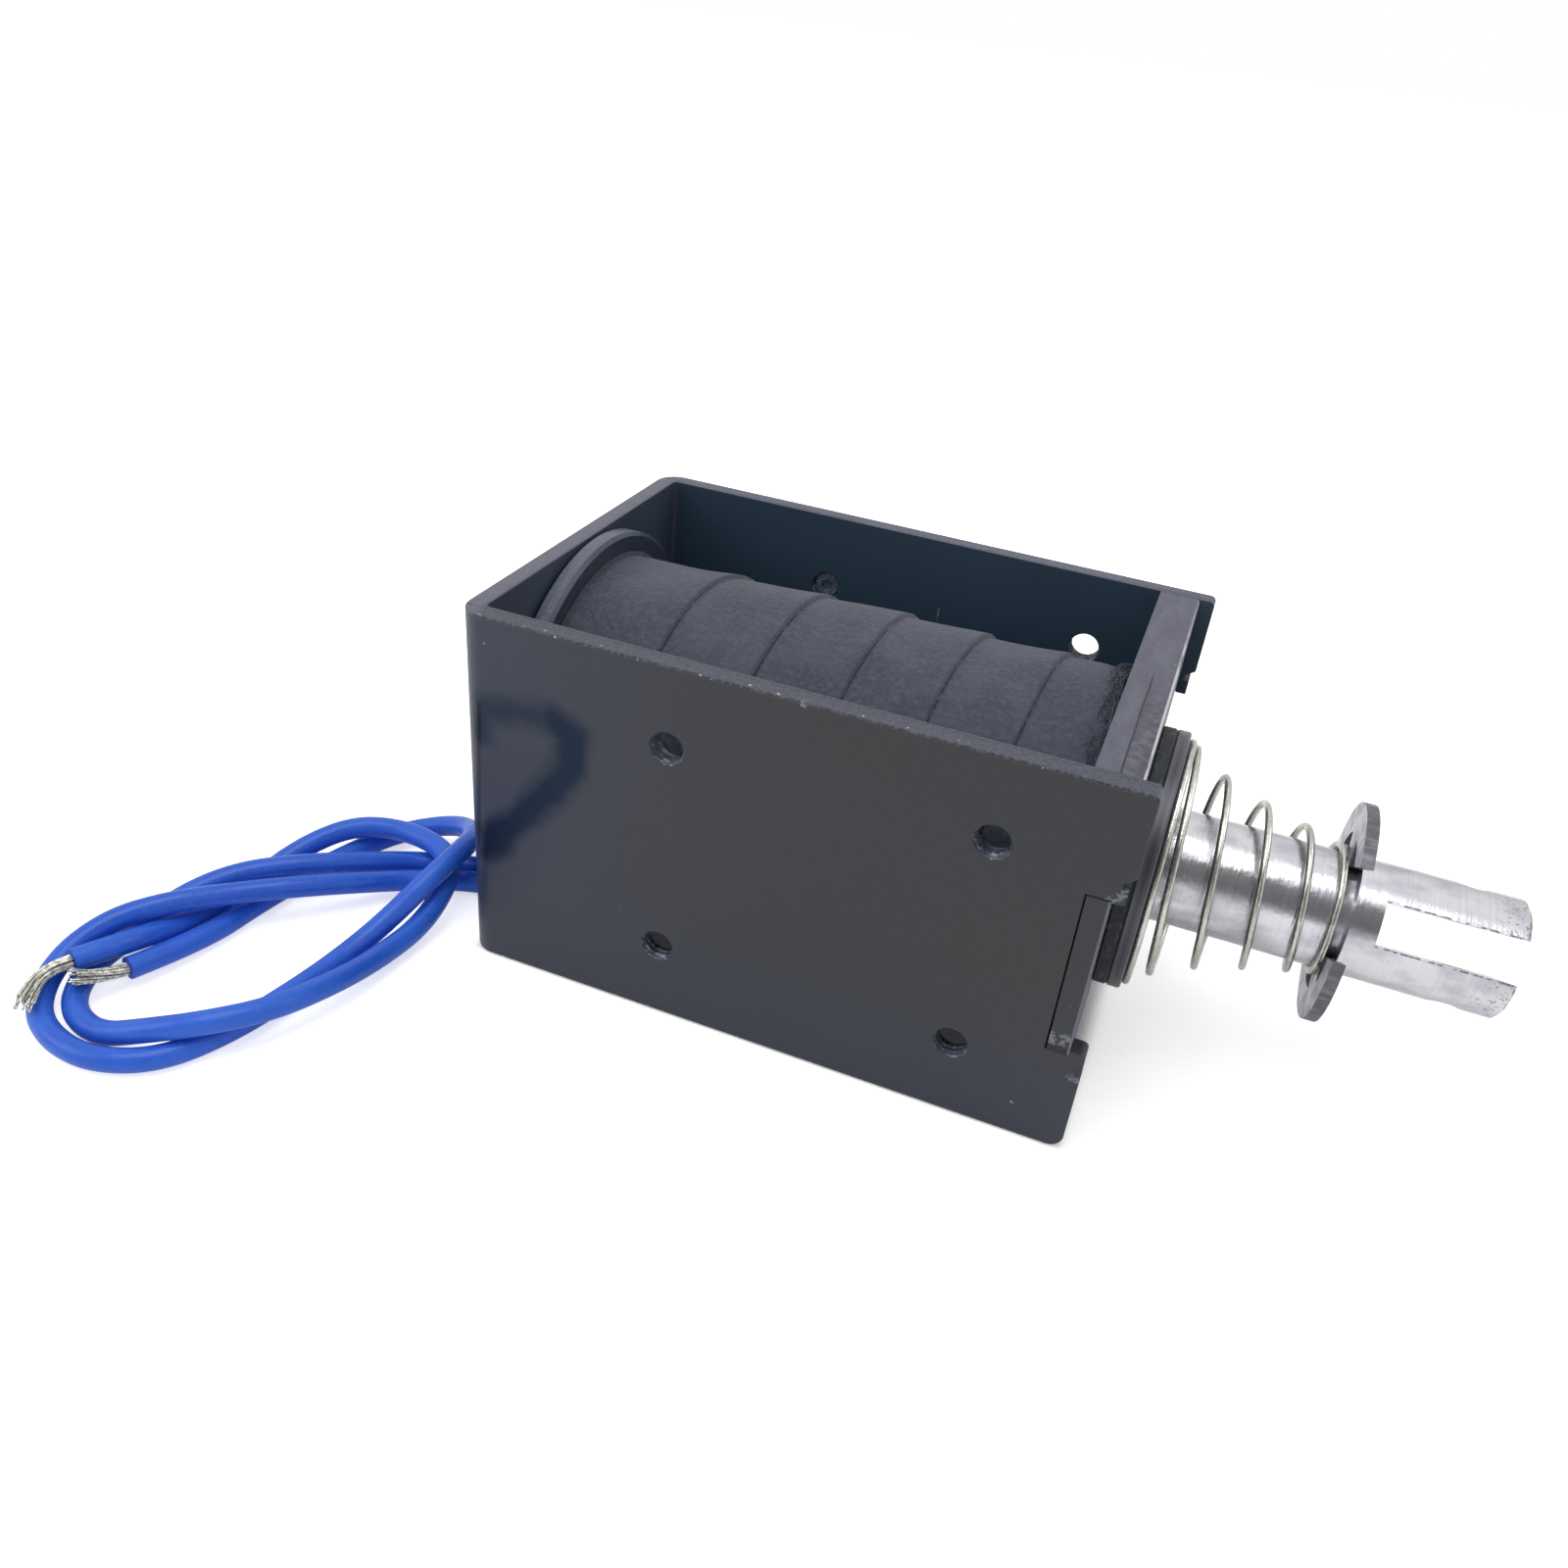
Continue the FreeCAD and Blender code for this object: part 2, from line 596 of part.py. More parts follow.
def make_retaining_clip():
    """Stamped E clip: a ring open on one side, with a middle tooth and two ears that grip the groove."""
    body = new_body("retaining_clip")
    back = clip_back
    radius, band, mouth = size("clip_radius"), size("clip_band"), size("clip_mouth") / 2
    grip = size("groove_radius") + size("clip_hold")
    thick = size("clip_thick")

    def flat(name):
        sketch = new_sketch(body, name, "YZ_Plane")
        bind(sketch, "AttachmentOffset.Base.z", back)
        return sketch

    disc = flat("clip_disc")
    draw_circle(disc, 0, 0, radius)
    pad(body, "clip_blank", disc, thick)
    inside = flat("clip_inside")
    draw_circle(inside, 0, 0, radius - band)
    pocket(body, "clip_ring", inside, thick, forward=True)
    tooth, overlap = size("clip_tooth") / 2, radius - band / 2
    teeth = flat("clip_teeth")
    draw_outline(teeth, ((0, -tooth), (overlap, -tooth), (overlap, tooth), (0, tooth)))
    pad(body, "clip_middle_tooth", teeth, thick)
    for side in (-1, 1):
        ear = flat(f"clip_ear_{side + 1}")
        low, high = as_size(0), radius - band / 2
        end = -size("clip_ear")
        draw_outline(ear, ((end, low), (end, high * side), (as_size(0), high * side), (as_size(0), low)))
        pad(body, f"clip_ear_pad_{side + 1}", ear, thick)
    grip_hole = flat("clip_grip")
    draw_circle(grip_hole, 0, 0, grip)
    pocket(body, "clip_grip_cut", grip_hole, thick, forward=True)
    opening = flat("clip_opening")
    beyond = -radius - 1
    draw_outline(opening, ((beyond, -mouth), (0, -mouth), (0, mouth), (beyond, mouth)))
    pocket(body, "clip_mouth_cut", opening, thick, forward=True)
    seat(body, frame_height / 2, size("fork_roll"))
    return body


def make_washer(name, start, thick):
    """Flat washer between the outer plate and the return spring, its outer edges broken."""
    end, bevel = start + thick, size("washer_bevel")
    inner, outer = plunger_radius + size("washer_play"), size("washer_radius")
    return make_turned(name, (
        (start, inner), (end, inner), (end, outer - bevel), (end - bevel, outer),
        (start + bevel, outer), (start, outer - bevel),
    ))


def add_shape(name, shape):
    """A piece whose shape is worked out here, placed like the others."""
    piece = doc.addObject("Part::Feature", name)
    piece.Label = name
    piece.Shape = shape
    return piece


def make_return_spring():
    """Cone spring: closed coils at both ends and open coils that narrow towards the clip."""
    wire = size("spring_wire").number
    turns, dead = size("spring_turns").number, size("spring_dead_turns").number
    start = washer_front.number + wire / 2
    end = clip_back.number - wire / 2
    base = size("spring_base_radius").number
    tip = plunger_radius.number + wire / 2 + slide_fit.number
    ease, flare = size("spring_ease").number, size("spring_flare").number
    spots = []
    corners = 8
    for step in range(round(turns * corners) + 1):
        turned = step / corners
        share = min(max((turned - dead) / (turns - 2 * dead), 0), 1)
        rise = share * share * (3 - 2 * share) * ease + share * (1 - ease)
        curve = (1 - flare) * (1 - rise) + flare * (1 - rise) ** size("spring_taper").number
        radius = tip + (base - tip) * curve
        corner = radius / math.cos(math.pi / corners)
        angle = math.radians(size("spring_first_angle").number + 360 * turned)
        spots.append(FreeCAD.Vector(start + (end - start) * rise, corner * math.cos(angle),
                                    corner * math.sin(angle)))
    piece = add_shape("return_spring", make_tube(spots, wire)[0])
    seat(piece, frame_height / 2)
    return piece


def route_wire(spots, share=0.45):
    """Straight runs joined by tangent arcs that each take a share of the shorter run, and the radii."""
    edges, radii = [], []
    start = spots[0]
    for before, corner, after in zip(spots, spots[1:], spots[2:]):
        come, go = (corner - before), (after - corner)
        shorter = min(come.Length, go.Length)
        half_turn = come.getAngle(go) / 2
        cut = share * shorter
        radius = cut / math.tan(half_turn)
        come.normalize()
        go.normalize()
        arc_start, arc_end = corner - come * cut, corner + go * cut
        bisector = (go - come).normalize()
        centre = corner + bisector * (radius / math.cos(half_turn))
        arc_middle = centre - bisector * radius
        edges.append(Part.LineSegment(start, arc_start).toShape())
        edges.append(Part.Arc(arc_start, arc_middle, arc_end).toShape())
        radii.append(radius)
        start = arc_end
    edges.append(Part.LineSegment(start, spots[-1]).toShape())
    return Part.Wire(edges), radii


def make_tube(spots, diameter):
    """A round tube along a route, with the length and the bend radii of the route."""
    path, radii = route_wire(spots)
    section = Part.Wire([Part.Circle(spots[0], spots[1] - spots[0], diameter / 2).toShape()])
    return path.makePipeShell([section], True, False), path.Length, radii


def lead_route(angle, route):
    """A lead's whole route, which starts at the end of its joint and first runs in line with it."""
    side = (-(joint_circle * angle.sine())).number
    height = (frame_height / 2 - joint_circle * angle.cosine()).number
    straight = size("lead_straight").number
    start = joint_start.number
    return ((start, side, height), (start - straight, side, height)) + route


def make_cord(name, route, diameter):
    """A free cord, with its length, radii and volume printed."""
    tube, length, radii = make_tube([FreeCAD.Vector(*spot) for spot in route], diameter)
    expected = math.pi * diameter ** 2 / 4 * length
    print(f"{name}: length {length:.1f}, radii {min(radii):.1f} to {max(radii):.1f}, "
          f"volume share {tube.Volume / expected:.4f}")
    piece = add_shape(name, tube)
    seat(piece)
    return piece


def make_all():
    """Every piece of the solenoid, in the order in which it is put together."""
    start, end = sheet_thick + slide_fit, plate_back - slide_fit
    winding_start, winding_end = start + size("rear_flange"), end - size("front_flange")
    winding_inner = hub_radius + slide_fit
    film_inner = size("winding_radius") + slide_fit
    tape_start, tape_end = winding_start + slide_fit, plate_back - size("tape_edge")
    lead, strand = size("lead_diameter").number, size("strand_diameter").number
    return (
        make_yoke(),
        make_plate("front_plate_inner", False),
        make_plate("front_plate_outer", True),
        make_fixed_pole(),
        make_turned("guide_tube", ring_section(sheet_thick, plate_front, plunger_radius + slide_fit,
                                               tube_radius)),
        make_bobbin(),
        make_turned("coil_winding", ring_section(winding_start + slide_fit, winding_end - slide_fit,
                                                 winding_inner, size("winding_radius"))),
        make_turned("insulation_film", ring_section(winding_start + slide_fit, winding_end - slide_fit,
                                                    film_inner, film_radius)),
        make_turned("tape_wrap", ring_section(tape_start, tape_end, film_radius + slide_fit * 2,
                                              size("tape_radius"))),
        make_lead_patch(),
        make_joint("lead_joint_inner", size("joint_angle_inner")),
        make_joint("lead_joint_outer", size("joint_angle_outer")),
        make_washer("cushion_washer", plate_front, size("cushion_thick")),
        make_washer("spring_seat_washer", plate_front + size("cushion_thick"), size("seat_thick")),
        make_return_spring(),
        make_retaining_clip(),
        make_plunger(),
        make_push_rod(),
        make_cord("lead_a", lead_route(size("joint_angle_inner"), LEAD_A_ROUTE), lead),
        make_cord("lead_b", lead_route(size("joint_angle_outer"), LEAD_B_ROUTE), lead),
        make_cord("lead_a_strands", LEAD_A_STRANDS, strand),
        make_cord("lead_b_strands", LEAD_B_STRANDS, strand),
    )


def export(pieces):
    """Check every object of the document and write each piece to its own file."""
    doc.recompute()
    for item in doc.Objects:
        if "Invalid" in item.State or "Error" in item.State:
            raise ValueError(f"{item.Name} failed: {item.State}")
    os.makedirs("parts", exist_ok=True)
    for piece in pieces:
        shape = piece.Shape
        if shape.isNull() or not shape.isValid() or not shape.Solids:
            raise ValueError(f"{piece.Label} has no valid solid")
        shape.exportStep(os.path.join("parts", f"{piece.Label}.step"))
        print(f"{piece.Label}: {len(shape.Solids)} solid, {shape.Volume:.1f} mm3")


export(make_all())
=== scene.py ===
"""Open frame push pull solenoid: a blackened yoke with a taped coil, a nickel plated plunger with a
fork, a cone spring and two loose blue leads.

Metres, in the part's own frame.  +X runs along the plunger to its fork, +Z is up, and the yoke
stands on Z = 0 with the outer face of its back wall at X = -0.0577.
"""
import json
import math

import bpy
import numpy as np

from mathutils import Matrix

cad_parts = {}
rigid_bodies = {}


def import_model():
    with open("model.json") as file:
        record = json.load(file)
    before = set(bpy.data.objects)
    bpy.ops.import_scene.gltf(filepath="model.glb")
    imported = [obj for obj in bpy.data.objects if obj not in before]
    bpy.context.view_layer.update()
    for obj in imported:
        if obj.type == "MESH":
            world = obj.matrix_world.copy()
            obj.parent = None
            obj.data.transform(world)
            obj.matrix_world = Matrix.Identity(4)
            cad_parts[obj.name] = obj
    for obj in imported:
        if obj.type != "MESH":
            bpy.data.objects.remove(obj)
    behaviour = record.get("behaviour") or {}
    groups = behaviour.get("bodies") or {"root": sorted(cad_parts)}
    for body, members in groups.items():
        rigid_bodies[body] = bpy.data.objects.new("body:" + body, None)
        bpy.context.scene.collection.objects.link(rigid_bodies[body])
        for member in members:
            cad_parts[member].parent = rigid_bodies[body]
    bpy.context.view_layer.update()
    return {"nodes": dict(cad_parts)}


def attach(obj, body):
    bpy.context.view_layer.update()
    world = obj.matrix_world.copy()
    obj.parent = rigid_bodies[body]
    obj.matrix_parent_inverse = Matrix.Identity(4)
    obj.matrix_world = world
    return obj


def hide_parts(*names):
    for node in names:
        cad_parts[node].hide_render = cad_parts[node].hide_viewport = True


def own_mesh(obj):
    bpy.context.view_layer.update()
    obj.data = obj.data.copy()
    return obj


for leftover in list(bpy.data.objects):
    bpy.data.objects.remove(leftover)
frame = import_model()
nodes = frame["nodes"]

back_wall = -0.0577
axis_height = 0.024
wall_outer, wall_thick = 0.027, 0.0025


# ---------------------------------------------------------------- shader nodes
class Value:
    """What a shader node puts out.  Arithmetic on it makes Math nodes, and a | b is the higher one."""

    def __init__(self, socket):
        self.socket = socket
        self.tree = socket.id_data

    def __add__(self, other):
        return reckon("ADD", self, other)

    def __sub__(self, other):
        return reckon("SUBTRACT", self, other)

    def __rsub__(self, other):
        return reckon("SUBTRACT", other, self)

    def __mul__(self, other):
        return reckon("MULTIPLY", self, other)

    def __truediv__(self, other):
        return reckon("DIVIDE", self, other)

    def __or__(self, other):
        return reckon("MAXIMUM", self, other)

    def __abs__(self):
        return reckon("ABSOLUTE", self)


def feed(socket, value):
    """Join a Value to a node's input, or set the input to a plain number, vector or colour."""
    if isinstance(value, Value):
        socket.id_data.links.new(value.socket, socket)
    else:
        socket.default_value = value


def put(tree, kind, inputs=None, **settings):
    """A shader node: settings are its own properties, and inputs are Values or plain numbers."""
    node = tree.nodes.new(kind)
    for name, value in settings.items():
        setattr(node, name, value)
    for name, value in (inputs or {}).items():
        feed(node.inputs[name], value)
    return node


def reckon(operation, *values, **settings):
    """The output of a Math node."""
    tree = next(value.tree for value in values if isinstance(value, Value))
    node = put(tree, "ShaderNodeMath", dict(enumerate(values)), operation=operation, **settings)
    return Value(node.outputs["Value"])


def reckon_vector(operation, first, *others, output="Vector", **inputs):
    """An output of a Vector Math node."""
    inputs = {**dict(enumerate((first, *others))), **inputs}
    node = put(first.tree, "ShaderNodeVectorMath", inputs, operation=operation)
    return Value(node.outputs[output])


def split(place):
    """The three numbers of a vector."""
    return [Value(part) for part in put(place.tree, "ShaderNodeSeparateXYZ", {"Vector": place}).outputs]


def join(tree, **parts):
    """A vector from some of its numbers X, Y and Z."""
    return Value(put(tree, "ShaderNodeCombineXYZ", parts).outputs["Vector"])


def object_place(tree, **mapping):
    """Object coordinates, moved or scaled.  Streaks run along the axis with the smallest scale."""
    place = Value(put(tree, "ShaderNodeTexCoord").outputs["Object"])
    return Value(put(tree, "ShaderNodeMapping", {"Vector": place, **mapping}).outputs["Vector"])


def noise(place, scale, detail=2.0):
    """Plain noise from 0 to 1."""
    node = put(place.tree, "ShaderNodeTexNoise", {"Vector": place, "Scale": scale, "Detail": detail})
    return Value(node.outputs["Fac"])


def ramp(value, low, high, start=0.0, end=1.0):
    """From low where the value is start to high where it is end, in a straight line."""
    node = put(value.tree, "ShaderNodeMapRange", {
        "Value": value, "From Min": start, "From Max": end, "To Min": low, "To Max": high})
    return Value(node.outputs["Result"])


def soft_step(value, start, end):
    """0 below start and 1 above end, with a soft step."""
    node = put(value.tree, "ShaderNodeMapRange", {"Value": value, "From Min": start, "From Max": end},
               interpolation_type="SMOOTHSTEP")
    return Value(node.outputs["Result"])


def between(value, start, end):
    """0 at start and 1 at end and beyond with a soft step, also where end is the lower number."""
    return soft_step(value, start, end) if start < end else 1.0 - soft_step(value, end, start)


def blend(mask, first, second):
    """The first number where the mask is 0 and the second where it is 1."""
    node = put(mask.tree, "ShaderNodeMix", {"Factor": mask, "A": first, "B": second})
    return Value(node.outputs["Result"])


def mix(mask, first, second):
    """The first colour where the mask is 0 and the second where it is 1.

    A colour is a Value, or screen values out of 255 that are turned into what Blender stores.
    """
    node = put(mask.tree, "ShaderNodeMix", {"Factor": mask}, data_type="RGBA")
    for index, shade in ((6, first), (7, second)):
        if not isinstance(shade, Value):
            screen = np.array(shade) / 255
            shade = (*np.where(screen <= 0.04045, screen / 12.92, ((screen + 0.055) / 1.055) ** 2.4), 1.0)
        feed(node.inputs[index], shade)
    return Value(node.outputs[2])


def new_group(name, inputs, outputs):
    """A shader node group, its inputs (label, kind, value) as Values by name, and its output sockets."""
    tree = bpy.data.node_groups.new(name, "ShaderNodeTree")
    for label, kind, value in inputs:
        socket = tree.interface.new_socket(label, in_out="INPUT", socket_type="NodeSocket" + kind)
        if value is not None:
            socket.default_value = value
    for label in outputs:
        tree.interface.new_socket(label, in_out="OUTPUT", socket_type="NodeSocketFloat")
    given = tree.nodes.new("NodeGroupInput").outputs
    return (tree, {label: Value(given[label]) for label, _, _ in inputs},
            tree.nodes.new("NodeGroupOutput").inputs)


def use_group(group, place, **inputs):
    """One use of a node group at a place, as its outputs by name."""
    node = put(place.tree, "ShaderNodeGroup", {"Vector": place, **inputs}, node_tree=group)
    return {output.name: Value(output) for output in node.outputs}


# Blotches: noise at one scale, cut between two levels.  Scaled coordinates turn them into streaks.
blotches, given, results = new_group("blotches", (
    ("Vector", "Vector", None), ("Scale", "Float", 100.0), ("Detail", "Float", 3.0),
    ("Low", "Float", 0.4), ("High", "Float", 0.6)), ("Mask",))
feed(results["Mask"], soft_step(noise(given["Vector"], given["Scale"], given["Detail"]),
                                given["Low"], given["High"]))


def blotch(place, scale, low, high, detail=3.0):
    """The mask of the blotches at a place."""
    return use_group(blotches, place, Scale=scale, Detail=detail, Low=low, High=high)["Mask"]


# Rings: how far a point lies from the plunger's axis, as noise of one number, gives lathe marks.
rings, given, results = new_group("lathe_rings", (
    ("Vector", "Vector", None), ("Scale", "Float", 4000.0), ("Low", "Float", 0.3),
    ("High", "Float", 0.7)), ("Mask", "Radius"))
along, sideways, upward = split(given["Vector"])
upward = upward - axis_height
from_axis = reckon("SQRT", sideways * sideways + upward * upward)
turned_lines = put(rings, "ShaderNodeTexNoise", {"W": from_axis + along, "Scale": given["Scale"],
                                                 "Detail": 3.0}, noise_dimensions="1D")
feed(results["Mask"], ramp(Value(turned_lines.outputs["Fac"]), 0.0, 1.0, given["Low"], given["High"]))
feed(results["Radius"], from_axis)


def new_finish(name, **constants):
    """A material and its Object coordinates, with the unchanging values on the shader's own sockets."""
    finish = bpy.data.materials.new(name)
    finish.use_nodes = True
    shader = finish.node_tree.nodes["Principled BSDF"]
    for label, value in constants.items():
        shader.inputs[label.replace("_", " ")].default_value = value
    return finish, object_place(finish.node_tree)


def dress(finish, tint, rough=None, bumps=(), metallic=None):
    """Join what changes over the surface to a material's shader.

    Each bump is a height and its size in metres, and lies over the one before it.
    """
    inputs = finish.node_tree.nodes["Principled BSDF"].inputs
    normal = None
    for height, depth in bumps:
        node = put(finish.node_tree, "ShaderNodeBump", {"Height": height, "Distance": depth,
                                                        "Strength": 1.0})
        if normal is not None:
            feed(node.inputs["Normal"], normal)
        normal = Value(node.outputs["Normal"])
    for label, value in (("Base Color", tint), ("Roughness", rough), ("Metallic", metallic),
                         ("Normal", normal)):
        if value is not None:
            feed(inputs[label], value)
    return finish


def refinish(node_name, finish):
    """Give a CAD node its finish."""
    for slot in nodes[node_name].material_slots:
        slot.material = finish


# ---------------------------------------------------------------- leads
# Two silicone insulated leads leave the port in the foot of the back wall and lie beside the yoke
# in two loose loops.  Their routes rise in long low humps where one passes over the other.
lead_diameter = 0.0029
port_end_a = ((26.0, -11.974, 4.071), (19.0, -11.974, 4.071))
port_end_b = ((26.0, -15.406, 6.587), (19.0, -15.406, 6.587))
lead_a_route = (
    (7.0, -12.4, 1.5), (-4.5, -12.6, 1.5),
    (-14.0, -15.8, 1.5), (-19.6, -21.8, 3.4), (-25.5, -27.9, 4.8), (-31.2, -33.4, 5.0),
    (-35.2, -39.6, 3.6), (-36.8, -46.4, 1.5), (-36.7, -53.2, 1.5), (-33.2, -59.2, 1.5),
    (-27.2, -61.2, 1.5), (-21.2, -59.9, 3.6), (-15.2, -57.5, 5.2), (-10.5, -52.0, 4.8),
    (-8.1, -44.4, 3.6), (-7.3, -36.2, 2.0), (-6.2, -28.0, 2.2), (-6.8, -20.8, 4.7),
    (-11.0, -16.0, 4.9), (-18.0, -14.8, 4.9), (-24.6, -17.0, 4.9), (-29.2, -22.3, 3.2),
    (-31.2, -29.3, 1.5), (-31.7, -36.5, 1.5), (-32.2, -43.2, 2.7), (-33.1, -49.6, 4.6),
    (-35.8, -55.3, 4.8),
)
lead_b_route = (
    (7.0, -15.7, 1.5), (-4.5, -15.8, 1.5),
    (-13.0, -20.0, 1.5), (-18.0, -26.5, 3.5), (-23.5, -32.5, 4.8), (-28.8, -37.8, 5.3),
    (-32.8, -43.2, 6.2), (-37.0, -48.4, 5.6), (-39.3, -54.6, 3.2), (-36.7, -60.8, 1.5),
    (-31.0, -63.9, 1.5), (-24.6, -64.4, 1.5), (-18.4, -61.3, 1.5), (-14.8, -54.4, 1.5),
    (-12.8, -46.0, 1.5), (-11.6, -38.0, 1.5), (-9.8, -31.0, 3.2), (-7.0, -24.8, 7.2),
    (-6.2, -18.4, 8.1), (-7.8, -13.2, 6.7), (-11.8, -9.8, 4.7), (-17.0, -9.2, 2.6),
    (-21.4, -11.8, 1.5), (-23.8, -17.0, 1.5), (-26.0, -25.0, 1.5), (-27.8, -33.5, 1.5),
    (-28.7, -42.6, 1.5), (-31.6, -51.7, 2.5),
)


def in_row(spots):
    """Points given in millimetres from the back wall, as metres in the part's frame."""
    places = np.array(spots, dtype=float) * 0.001
    places[:, 0] += back_wall
    return places


def lay_curve(name, spots, diameter):
    """A smooth round cord: a NURBS spline of order 3 through its first and last control points."""
    shape = bpy.data.curves.new(name, "CURVE")
    shape.dimensions = "3D"
    shape.resolution_u = 10
    shape.bevel_resolution = 7
    shape.bevel_depth = diameter / 2
    shape.use_fill_caps = True
    spline = shape.splines.new("NURBS")
    places = in_row(spots)
    spline.points.add(len(places) - 1)
    spline.points.foreach_set("co", np.c_[places, np.ones(len(places))].ravel())
    spline.order_u = 3
    spline.use_endpoint_u = True
    spline.use_smooth = True
    cord = bpy.data.objects.new(name, shape)
    bpy.context.scene.collection.objects.link(cord)
    return cord


def make_blue_insulation():
    """Glossy blue silicone: slightly uneven in colour, with a soft dull film and shallow ripples."""
    finish, place = new_finish("blue_silicone", IOR=1.43, Specular_IOR_Level=0.4)
    cloud = blotch(place, 120.0, 0.35, 0.65)
    tint = mix(cloud, (44, 97, 209), (54, 107, 221))
    tint = mix(blotch(place, 1400.0, 0.56, 0.74, 5.0) * 0.12, tint, (110, 150, 235))
    return dress(finish, tint, ramp(cloud, 0.22, 0.34), [(noise(place, 420.0), 0.00008)])


blue_silicone = make_blue_insulation()
leads = {}
for name, start, route, length in (("lead_a", port_end_a, lead_a_route, 0.2131),
                                   ("lead_b", port_end_b, lead_b_route, 0.2198)):
    lead = lay_curve("loose_" + name, start + route, lead_diameter)
    lead.data.materials.append(blue_silicone)
    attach(lead, "frame")
    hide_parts(name)
    leads[name] = (lead, start, length)


# ---------------------------------------------------------------- stripped ends
# The last 7 to 9 mm of each lead is stripped to its tinned copper strands.  They lie nearly straight
# side by side and spread a little towards their cut tips.
wire_radius = 0.000115
strand_ends = {
    "lead_a": ((-35.8, -55.3, 4.8), (-36.83, -57.47, 4.876), (-36.75, -60.3, 4.6), (-35.0, -63.5, 4.0)),
    "lead_b": ((-31.6, -51.7, 2.5), (-32.32, -53.97, 2.75), (-34.0, -57.6, 4.4)),
}


def mesh_object(name, corners, faces, smooth=True):
    """A mesh piece at the origin from an array of corners and a list of face arrays."""
    mesh = bpy.data.meshes.new(name)
    mesh.from_pydata(corners.tolist(), [], [face for block in faces for face in block.tolist()])
    mesh.update()
    mesh.polygons.foreach_set("use_smooth", np.full(len(mesh.polygons), smooth))
    piece = bpy.data.objects.new(name, mesh)
    bpy.context.scene.collection.objects.link(piece)
    return piece


def grid_faces(rows, columns, first=0, wrap=False):
    """Four cornered faces between the rows and columns of a grid whose corners are numbered by row."""
    across = columns if wrap else columns - 1
    row, column = np.meshgrid(np.arange(rows - 1), np.arange(across), indexing="ij")
    beside = (column + 1) % columns
    corners = (row * columns + column, row * columns + beside,
               (row + 1) * columns + beside, (row + 1) * columns + column)
    return first + np.stack(corners, axis=-1).reshape(-1, 4)


def tube_grid(path, radius, sides):
    """Corners of a round tube: at every path point a ring of the radius, square to the path.

    The ring's first direction is carried from point to point by taking the last one and removing
    its part along the path, so the tube doesn't twist.
    """
    along = np.gradient(path, axis=0)
    along /= np.linalg.norm(along, axis=1, keepdims=True)
    side = np.cross(along[0], (0.3, 0.2, 1.0))
    sides_kept = []
    for direction in along:
        side = side - direction * np.dot(side, direction)
        side = side / np.linalg.norm(side)
        sides_kept.append(side)
    first = np.array(sides_kept)
    second = np.cross(along, first)
    turn = np.linspace(0, 2 * math.pi, sides, endpoint=False)
    width = np.broadcast_to(np.asarray(radius, dtype=float), (len(path),))[:, None, None]
    ring = first[:, None] * np.cos(turn)[None, :, None] + second[:, None] * np.sin(turn)[None, :, None]
    return path[:, None] + ring * width


def tube_faces(rings, sides, first=0):
    """Walls and the two flat ends of a tube from tube_grid()."""
    start = first + np.arange(sides)[::-1][None]
    end = first + (rings - 1) * sides + np.arange(sides)[None]
    return [grid_faces(rings, sides, first, wrap=True), start, end]


def curve_line(spots, steps):
    """Evenly spaced points along the smooth spline with these control points."""
    guide = lay_curve("guide", spots, 0.0)
    bpy.context.view_layer.update()
    mesh = bpy.data.meshes.new_from_object(guide.evaluated_get(bpy.context.evaluated_depsgraph_get()))
    line = np.empty(len(mesh.vertices) * 3)
    mesh.vertices.foreach_get("co", line)
    line = line.reshape(-1, 3)
    bpy.data.objects.remove(guide)
    bpy.data.meshes.remove(mesh)
    gone = np.r_[0, np.cumsum(np.linalg.norm(np.diff(line, axis=0), axis=1))]
    share = np.linspace(0, gone[-1], steps)
    return np.stack([np.interp(share, gone, line[:, axis]) for axis in range(3)], axis=1)


def twist_strands(name, spots, seed):
    """Thirty seven wires in rings of 1, 6, 12 and 18, twisted a full turn in 45 mm, in a flattened bundle.

    A wire stands off the lead's line by its ring's radius times (1 + spread * share cubed), and it
    wanders by a slow sine of its own.
    """
    chance = np.random.default_rng(seed)
    line = curve_line(spots, 30)
    along = np.gradient(line, axis=0)
    along /= np.linalg.norm(along, axis=1, keepdims=True)
    first = np.cross(along, (0.1, 0.2, 1.0))
    first /= np.linalg.norm(first, axis=1, keepdims=True)
    second = np.cross(along, first)
    share = np.linspace(0, 1, len(line))
    corners, faces, used = [], [], 0
    for ring, count in ((0.0, 1), (0.00025, 6), (0.0005, 12), (0.00074, 18)):
        for index in range(count):
            turn = 2 * math.pi * (index / count + share * 0.19) + chance.normal(0, 0.12)
            off = ring * (1 + chance.uniform(0.0, 0.45) * share ** 3)
            wander = 0.00005 * np.sin(share * chance.uniform(3, 8) + chance.uniform(0, 6.3)) * share
            drift = chance.normal(0, 0.00030, 3) * share[:, None] ** 3
            path = (line + first * (off * np.cos(turn) + wander)[:, None]
                    + second * (off * np.sin(turn) * (1 - 0.2 * share))[:, None] + drift)
            path[:, 2] = np.maximum(path[:, 2], wire_radius)
            kept = path[:int(chance.uniform(25, 30.9))]
            corners.append(tube_grid(kept, wire_radius, 6).reshape(-1, 3))
            faces += tube_faces(len(kept), 6, used)
            used += len(kept) * 6
    return mesh_object(name, np.concatenate(corners), faces)


def make_tinned_copper():
    """Tinned copper wire: silver with greyer, rougher patches and a few bare copper glints."""
    finish, place = new_finish("tinned_copper", Metallic=0.85)
    grey = blotch(place, 1800.0, 0.40, 0.62)
    tint = mix(grey, (234, 233, 222), (176, 176, 168))
    tint = mix(blotch(place, 2600.0, 0.66, 0.72), tint, (190, 140, 100))
    return dress(finish, tint, ramp(grey, 0.22, 0.5))


